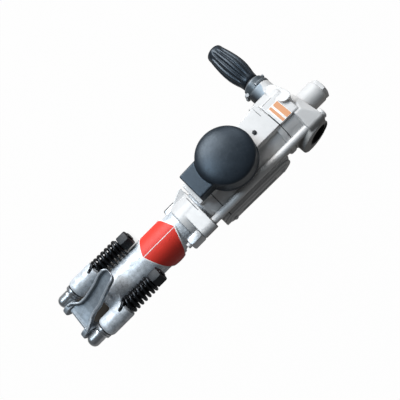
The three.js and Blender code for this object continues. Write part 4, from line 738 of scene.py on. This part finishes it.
# Throttle: a steel spool inside the barrel, turned by a clamped collar with an ear, a half lip and
# a small pointer. A pinch bolt with its nut closes the collar.
dark_cast = forged("dark_cast_steel", (0.075, 0.092, 0.106), 0.42, 1.4, 0.0003, 0.4, 0.7)
collar_start, collar_end, collar_radius, lip_radius = 74.8, 91.5, 20, 23
lip_end = collar_start + 5.5
half_lip = sliced(spun([(collar_start, 0), (collar_start, lip_radius - 1.2), (collar_start + 1, lip_radius),
                        (collar_start + 4.6, lip_radius), (lip_end, lip_radius - 1.2), (lip_end, 0)],
                       "Y", on_handle), (handle_at - 3, 0, 0), (-1, 0, 0))
pinch_at = (handle_at - 22, collar_start + 5.9, 0)
collar_solids = [
    spun([(collar_start, 0), (collar_start, 19.2), (collar_start + 0.8, collar_radius),
          (collar_end - 1.4, collar_radius), (collar_end, 18.6), (collar_end, 0)], "Y", on_handle),
    half_lip,
    rounded_block((handle_at - 25.6, collar_start + 2.4, -5), (handle_at - 13, collar_start + 9.4, 5), 1.5),
    rounded_block((handle_at + 13, collar_end - 5, -4), (handle_at + 24, collar_end, 4), 1),
]
collar_cuts = [
    bar(collar_start - 6, collar_end + 6, 10.8, "Y", on_handle, 48),
    rounded_block((handle_at - 34, collar_start - 6, -1.2), (handle_at - 10, collar_end + 6, 1.2)),
    bar(-12, 12, 2.3, "Z", pinch_at, 32),
]
placed("clamp_collar", cast(collar_solids, 0.7, 3, collar_cuts), dark_cast, "throttle", ["throttle_collar"])
bolt_mesh = gathered(spun([(-8.9, 0), (-8.9, 1.8), (-8.7, 2), (5.2, 2), (5.2, 0)], "Z", pinch_at, 32))
bolt_join = bmesh.new()
bolt_join.from_mesh(bolt_mesh)
for low, high in ((5.3, 8.9), (-8.9, -5.3)):
    bolt_join.from_mesh(hexagon_nut(low, high, 7.2, 0, 0.6, "Z", pinch_at))
bolt_join.to_mesh(bolt_mesh)
bolt_join.free()
placed("pinch_screw", bolt_mesh, dark_cast, "throttle", ["pinch_bolt"], 30)


# Side handle: a steel bar with a shoulder, run through the spool and held by a nut in the socket.
# Its rubber grip is waisted, has ribs along its belly and ends in a thick rounded tip.
shoulder, grip_from, grip_bore = 15.5, 95.5, 11
handle_bar = spun([
    (-40.6, 0), (-40.6, 6.4), (-40, 7), (91.8, 7), (91.8, shoulder - 0.8), (92.6, shoulder), (94.4, shoulder),
    (95.2, shoulder - 0.8), (95.2, grip_bore - 0.3), (183.5, grip_bore - 0.3), (183.5, 0)], "Y", on_handle)
placed("handle_rod", gathered(handle_bar), blacked, "casing", ["handle_bar"], 35)
placed("socket_nut", hexagon_nut(-38.3, -30.3, 22, 7.3, 1.6, "Y", on_handle), blacked, "casing",
       ["handle_nut"], 30)

# Places along the grip, each with its radius and its share of the ribs' full depth.
ribs, rib_depth = 13, 2.6
grip_line = [(0, 15.4, 0), (0.8, 16.1, 0), (5.5, 16.4, 0), (10, 16.9, 0.35), (18, 18.6, 1), (27, 20.4, 1),
             (36, 21.4, 1), (46, 21.5, 1), (56, 20.9, 1), (66, 19.7, 1), (74, 18.6, 1), (80, 17.7, 0.8),
             (84.5, 17.0, 0.2), (87, 16.8, 0), (91, 16.4, 0), (93.6, 15.4, 0), (95.2, 13.6, 0), (96, 11.2, 0)]
grip_bm = bmesh.new()
ring = bmesh.ops.create_circle(grip_bm, segments=ribs * 12, radius=1,
                               matrix=Matrix.Rotation(math.radians(90), 4, "X"))["verts"]
loop = list({edge for vert in ring for edge in vert.link_edges})


def grown(edges):
    """A new row of faces on a row of edges: its new points and its new edges."""
    made = bmesh.ops.extrude_edge_only(grip_bm, edges=edges)["geom"]
    return ([e for e in made if isinstance(e, bmesh.types.BMVert)],
            [e for e in made if isinstance(e, bmesh.types.BMEdge)])


for along, radius, rib_share in grip_line:
    if along:
        ring, loop = grown(loop)
    for vert in ring:
        angle = math.atan2(vert.co.z, vert.co.x)
        wave = (0.5 + 0.5 * math.cos(angle * ribs)) ** 2.2
        reach = radius + 0.35 * rib_share - rib_depth * rib_share * wave
        vert.co = (reach * math.cos(angle), grip_from + along, reach * math.sin(angle))
tip, _ = grown(loop)
bmesh.ops.pointmerge(grip_bm, verts=tip, merge_co=(0, grip_from + 96.3, 0))
mouth, mouth_edges = grown([e for e in grip_bm.edges if e.is_boundary])
for vert in mouth:
    angle = math.atan2(vert.co.z, vert.co.x)
    vert.co = (grip_bore * math.cos(angle), grip_from, grip_bore * math.sin(angle))
bottom, bottom_edges = grown(mouth_edges)
bmesh.ops.translate(grip_bm, vec=(0, 88.3, 0), verts=bottom)
bmesh.ops.edgeloop_fill(grip_bm, edges=bottom_edges)
bmesh.ops.recalc_face_normals(grip_bm, faces=grip_bm.faces)
bmesh.ops.translate(grip_bm, vec=on_handle, verts=grip_bm.verts)
grip_rubber = rubber("grip_rubber", (0.009, 0.012, 0.016), 0.34, 0.00012)
placed("rubber_grip", gathered(grip_bm), grip_rubber, "casing", ["grip"], 50)


# Air inlet: a painted swivel tube, held in the back head by a screwed gland, with a painted hexagon
# end for the hose fitting.
tube_end, inlet_bore, inlet_radius, gland_radius = 269.8, 9.5, 20.35, 22.9
tube = spun([(222, inlet_bore), (222, 16.7), (224, 16.7), (224, gland_radius), (227.4, gland_radius),
             (227.4, inlet_radius), (267.9, inlet_radius), (tube_end, 18.4), (tube_end, inlet_bore)])
placed("inlet_tube", shaped(gathered(tube), [rounded_edges(0.6, 3)]), silver_paint, "inlet", ["air_inlet"], 35)
placed("inlet_hexagon", hexagon_nut(268.4, 277, 35, inlet_bore, 3), silver_paint, "inlet", (), 30)
gland = spun([(227.7, inlet_radius + 0.3), (227.7, gland_radius), (231.9, gland_radius), (232.5, 22.3),
              (232.5, inlet_radius + 0.3)])
placed("gland_ring", gathered(gland), bore_steel, "casing", ["inlet_gland"], 35)


# Retainer bolts: two forged eye bolts whose shafts run back through the bosses. The yoke's pins sit in
# their domed heads, and each has a turned collar between its head and the boss.
bolt_face, bolt_tip = -249.1, -274.8
pivot_at = (bolt_face + bolt_tip) / 2
nut_start, nut_end = -136.4, -118.3
eye_radius, shaft_radius, pin_hole, turned_radius = 11, 7.5, 6.3, 14
bolt_forging = forged("bolt_forging", (0.46, 0.48, 0.50), 0.32, 1.8, 0.0003, 0.92, 0.5, -243.0)
for side, name in SIDES:
    place = (0, side * boss_across, boss_up)
    eye = spun([
        (bolt_tip, 0), (bolt_tip + 0.2, 3), (bolt_tip + 1.3, 6.4), (bolt_tip + 3.4, 9.1),
        (bolt_tip + 6.4, 10.7), (bolt_tip + 9, eye_radius), (bolt_face - 3, eye_radius),
        (bolt_face, 9.8), (bolt_face, 0)],
        centre=place, steps=72)
    shaft = spun([(bolt_face - 2, 0), (bolt_face - 2, shaft_radius), (-116.6, shaft_radius), (-115.8, 6.7),
                  (-115.8, 0)], centre=place, steps=64)
    low, high = sorted((side * 22, side * 45.3))
    eye_bolt = cast([eye, shaft], 0.7, 2, [bar(low, high, pin_hole, "Y", (pivot_at, 0, boss_up), 48)])
    placed(f"eye_bolt_{name}", eye_bolt, bolt_forging, "retainer_bolts", [f"retainer_bolt_{name}"])
    front, end = bolt_face + fit_gap, boss_front - fit_gap
    collar = spun([(front, 7.8), (front, 12), (bolt_face + 1.8, 13.8), (bolt_face + 3.6, turned_radius),
                   (bolt_face + 4, 13.2), (bolt_face + 4.9, 13.2), (bolt_face + 5.3, turned_radius),
                   (boss_front - 0.8, turned_radius), (end, 13.4), (end, 7.8)], centre=place)
    placed(f"turned_collar_{name}", gathered(collar), bolt_forging, "retainer_bolts",
           [f"bolt_collar_{name}"], 50)
    nut = hexagon_nut(nut_start + fit_gap, nut_end, 26, 7.8, 2, centre=place, turned=math.radians(50))
    placed(f"spring_nut_{name}", nut, blacked, "retainer_bolts", [f"retainer_nut_{name}"], 30)


# Retainer springs: round black wire, wound in seven coils with closed ends. They pull the yoke's
# bolts back and give way when the drill steel kicks.
spring_black = machined("spring_black", (0.03, 0.032, 0.035), 0.3)
wire, coil, spring_length, bolt_travel = 2.3, 13.3, 56.6, 10
end_turns, middle_turns, end_pitch, turn_steps = 0.75, 5.5, 4.75, 36


def skin_over(bm, rings):
    """Faces between neighbouring rings of points, and over the first and the last ring."""
    count = len(rings[0])
    for one, two in zip(rings, rings[1:]):
        for k in range(count):
            bm.faces.new((one[k], one[(k + 1) % count], two[(k + 1) % count], two[k]))
    bm.faces.new(rings[0])
    bm.faces.new(rings[-1])


def wire_along(route, radius, sides=14):
    """Round wire bent along a route."""
    bm = bmesh.new()
    rings = []
    side = Vector((1, 0, 0))
    for index, point in enumerate(route):
        ahead = (route[min(index + 1, len(route) - 1)] - route[max(index - 1, 0)]).normalized()
        side = (side - ahead * side.dot(ahead)).normalized()
        other = ahead.cross(side)
        rings.append([bm.verts.new(point + (side * math.cos(a) + other * math.sin(a)) * radius)
                      for a in [k * math.tau / sides for k in range(sides)]])
    skin_over(bm, rings)
    bmesh.ops.recalc_face_normals(bm, faces=bm.faces)
    return bm


for side, name in SIDES:
    bm = bmesh.new()
    start = boss_back + fit_gap + wire
    lean = Matrix.Rotation(math.radians(-30), 4, "X")
    facing = lean @ Matrix.Translation((start, 0, coil)) @ Matrix.Rotation(math.radians(90), 4, "X")
    first = bmesh.ops.create_circle(bm, segments=14, radius=wire, cap_ends=True, matrix=facing)["verts"]
    moving = list(bm.faces) + list({edge for vert in first for edge in vert.link_edges}) + list(first)
    length = spring_length - 2 * fit_gap - 2 * wire
    middle_pitch = (length - 2 * end_turns * end_pitch) / middle_turns
    for turns, pitch in ((end_turns, end_pitch), (middle_turns, middle_pitch), (end_turns, end_pitch)):
        steps = round(turns * turn_steps)
        swept = bmesh.ops.spin(bm, geom=moving, cent=(0, 0, 0), axis=(1, 0, 0),
                               dvec=(pitch * turns / steps, 0, 0), angle=-math.tau * turns, steps=steps,
                               use_duplicate=False)
        moving = swept["geom_last"]
    bmesh.ops.remove_doubles(bm, verts=bm.verts, dist=0.001)
    bmesh.ops.recalc_face_normals(bm, faces=bm.faces)
    coil_top = Vector((start, coil * 0.5, coil * 0.866))
    hook = Vector((boss_back - 8, 0, 9.8))
    bend = interpolate_bezier(coil_top, coil_top + Vector((-1, -4.3, 2.5)), hook + Vector((0, 0, 5)),
                              hook, 12)
    tail = wire_along(bend, wire)
    for part in (bm, tail):
        bmesh.ops.translate(part, vec=(0, side * boss_across, boss_up), verts=part.verts)
    spring = placed(f"coil_spring_{name}", gathered(bm, tail), spring_black, "casing",
                    [f"retainer_spring_{name}"], 60)
    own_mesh(spring)


# Retainer: the forged yoke that hooks in front of the drill steel's collar. It turns on two pins,
# and its long flanged lever is pushed over by foot to free the steel.
yoke_forging = forged("yoke_forging", (0.225, 0.255, 0.285), 0.48, 1.9, 0.0004, 0.45, 0.95)
ear_reach, hook_drop, hook_half = 29.2, 39, 20.5
crossbar = sliced(bar(-ear_reach, ear_reach, 9.5, "Y", (pivot_at, 0, boss_up)),
                  (pivot_at - 3, 0, 0), (-1, 0, 0))
hook_low = boss_up - hook_drop
yoke_solids = [
    crossbar,
    prism([(-hook_half, boss_up), (-hook_half, hook_low + 6), (-hook_half + 6, hook_low),
           (hook_half - 6, hook_low), (hook_half, hook_low + 6), (hook_half, boss_up)],
          pivot_at - 3, pivot_at + 6),
]
for side, _ in SIDES:
    yoke_solids.append(skinned([
        (side * across, along, boss_up, radius) for along in (pivot_at, pivot_at - 2.4)
        for across, radius in ((19.9, 11.7), (20.7, 12.5), (28.3, 12.5), (29.1, 11.7))], "Y", 64))

# Places along the lever, each with half its width, its lean to the side and its rise.
arm_stations = [(0, 28.4, 0, 0), (7.4, 25.5, 0.19, 0.015), (12.9, 21.4, -0.02, 0.02), (19.3, 16.9, 0.0, 0.035),
                (29.4, 15, 0.09, 0.11), (41.4, 15.2, 0.1, 0.28), (58, 13.7, 0.46, 0.53), (75.4, 13.9, 1, 0.79),
                (85.6, 12.6, 1.05, 0.93), (90.2, 9.3, 1.05, 1.05), (92, 5.8, 1.05, 1.12)]
arm_lean, arm_rise, web_low, web, flange_width = 6.5, 26, 4, 4.5, 3.6
arm = bmesh.new()
rings = []
for index, (along, half, lean_share, rise_share) in enumerate(arm_stations):
    low = web_low + arm_rise * rise_share
    top = low + web
    crest = top + (2 if index > 8 else 6)
    section = [(-half, low), (half, low), (half, crest), (half - flange_width, crest), (half - 5.1, top),
               (-half + 5.1, top), (-half + flange_width, crest), (-half, crest)]
    rings.append([arm.verts.new((pivot_at + along, across + arm_lean * lean_share, boss_up + height))
                  for across, height in section])
skin_over(arm, rings)
bmesh.ops.triangulate(arm, faces=arm.faces)
bmesh.ops.recalc_face_normals(arm, faces=arm.faces)
yoke_solids.append(arm)
yoke_cuts = [skinned([(along, 0, height, 13) for height in (-1, -12)
                      for along in (pivot_at - 10, pivot_at + 12)])]
for side, _ in SIDES:
    low, high = sorted((side * 22.1, side * 36))
    yoke_cuts.append(bar(low, high, pin_hole, "Y", (pivot_at, 0, boss_up), 48))
placed("retainer_yoke_forging", cast(yoke_solids, 0.75, 4, yoke_cuts), yoke_forging, "retainer_yoke",
       ["retainer"])


# Plates: a red card tag stuck over the front head, and a small orange card on the back head. The real
# ones are printed, these carry only plain borders and bars.
def card(name, colour, rough):
    """Glossy printed card: even colour and faint crease lines."""
    finish = Finish(name)
    cloud = finish.noise(45.0, 3.0)
    crease = finish.noise(180.0, 5.0, 0.65)
    shown = finish.blend(cloud, toned(colour, 0.9), toned(colour, 1.08))
    shine = (crease * 0.14 + (rough - 0.07)).limited()
    skin = finish.bump(crease + cloud, 0.25, 0.0002)
    return finish.out(finish.shade(Base_Color=shown, Roughness=shine, Specular_IOR_Level=0.35, Normal=skin))


red_card = card("red_card", (0.72, 0.04, 0.025), 0.5)
white_card = card("white_card", (0.86, 0.85, 0.83), 0.42)
orange_card = card("orange_card", (0.68, 0.32, 0.16), 0.5)
tag_middle, tag_radius, tag_start = -88.3, 34.8, math.radians(-61)


def tag_spot(along, height, lift):
    """A point of the tag: height runs round the tube from the far side, then hangs straight down."""
    reach = tag_radius + lift
    wrapped = tag_radius * (math.radians(90) - tag_start)
    if height <= wrapped:
        angle = tag_start + height / tag_radius
        return (tag_middle + along, -reach * math.sin(angle), reach * math.cos(angle))
    return (tag_middle + along, -reach, wrapped - height)


def tag_sheet(outline, lift, thick):
    """An outline (along, height) cut from card of a given thickness and wrapped on the tube."""
    bm = bmesh.new()
    bm.faces.new([bm.verts.new((u, v, 0)) for u, v in outline])
    top = max(v for u, v in outline)
    bottom = min(v for u, v in outline)
    strips = int((top - bottom) / 2.2)
    for k in range(1, strips):
        bmesh.ops.bisect_plane(bm, geom=bm.verts[:] + bm.edges[:] + bm.faces[:],
                               plane_co=(0, bottom + (top - bottom) * k / strips, 0), plane_no=(0, 1, 0))
    thickened = bmesh.ops.extrude_face_region(bm, geom=bm.faces[:])
    bmesh.ops.translate(bm, vec=(0, 0, thick), verts=pushed_out(thickened))
    for vert in bm.verts:
        vert.co = tag_spot(vert.co.x, vert.co.y, lift + vert.co.z)
    bmesh.ops.recalc_face_normals(bm, faces=bm.faces)
    return bm


def tag_outline(inset):
    """The tag's six sides with a rounded lower end, drawn in by an inset."""
    points = [(-21.2 + 0.6 * inset, inset), (21.8 - 0.6 * inset, inset), (36.6 - inset, 39),
              (14 - inset * 0.9, 100)]
    points += [(14 * math.cos(a) - inset * math.cos(a) * 0.9, 100 + (9.6 - inset) * math.sin(a))
               for a in [k * math.pi / 8 for k in range(1, 8)]]
    points += [(-14 + inset * 0.9, 100), (-36 + inset, 39)]
    return points


bar_outline = [(-33.6, 39.7), (34.2, 39.7), (34.2, 40.8), (-33.6, 40.8)]
for name, sheet, finish in (("tag_card", tag_sheet(tag_outline(0), 0.0, 0.25), white_card),
                            ("tag_face", tag_sheet(tag_outline(1.9), 0.28, 0.07), red_card),
                            ("tag_bar", tag_sheet(bar_outline, 0.55, 0.05), white_card),
                            ("label_card", rounded_block((179.6, -11.6, 46.08), (202, 20.8, 46.34), 0.1),
                             white_card)):
    placed(name, gathered(sheet), finish, "casing", (), 35)
label_face = [rounded_block((front, -11, 46.36), (end, 20, 46.42))
              for front, end in ((182.3, 187.4), (191, 201))]
placed("label_bars", gathered(*label_face), orange_card, "casing", (), 35)


# Inner works: hammer, rifling, ratchet, valve and bushes keep their machined solids. They are ground
# steel and turned bronze, thinly oiled.
ground_steel = machined("ground_steel", (0.55, 0.56, 0.57), 0.26)
bronze = machined("turned_bronze", (0.58, 0.36, 0.16), 0.34)
for name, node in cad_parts.items():
    if node.hide_render:
        continue
    node.data.materials.clear()
    node.data.materials.append(bronze if name in ("chuck_nut", "guide_bush", "rifle_nut") else ground_steel)

# Each pawl's push spring, which is pressed inward when the ratchet ring lifts its pawl, gets a mesh of its own.
drill_axis = DRILL @ Vector((0, 0, 0))
for index in (1, 2, 3, 4):
    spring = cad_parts[f"pawl_spring_{index}"]
    ends = [vert.co for vert in spring.data.vertices]
    low, high = (Vector([pick(co[k] for co in ends) for k in range(3)]) for pick in (min, max))
    length, along = max((high[k] - low[k], k) for k in (1, 2))
    outward = Vector((0, 0, 0))
    outward[along] = 1 if (low + high)[along] / 2 > drill_axis[along] else -1
    tuple((low + high) / 2 - outward * length / 2)
    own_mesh(spring)
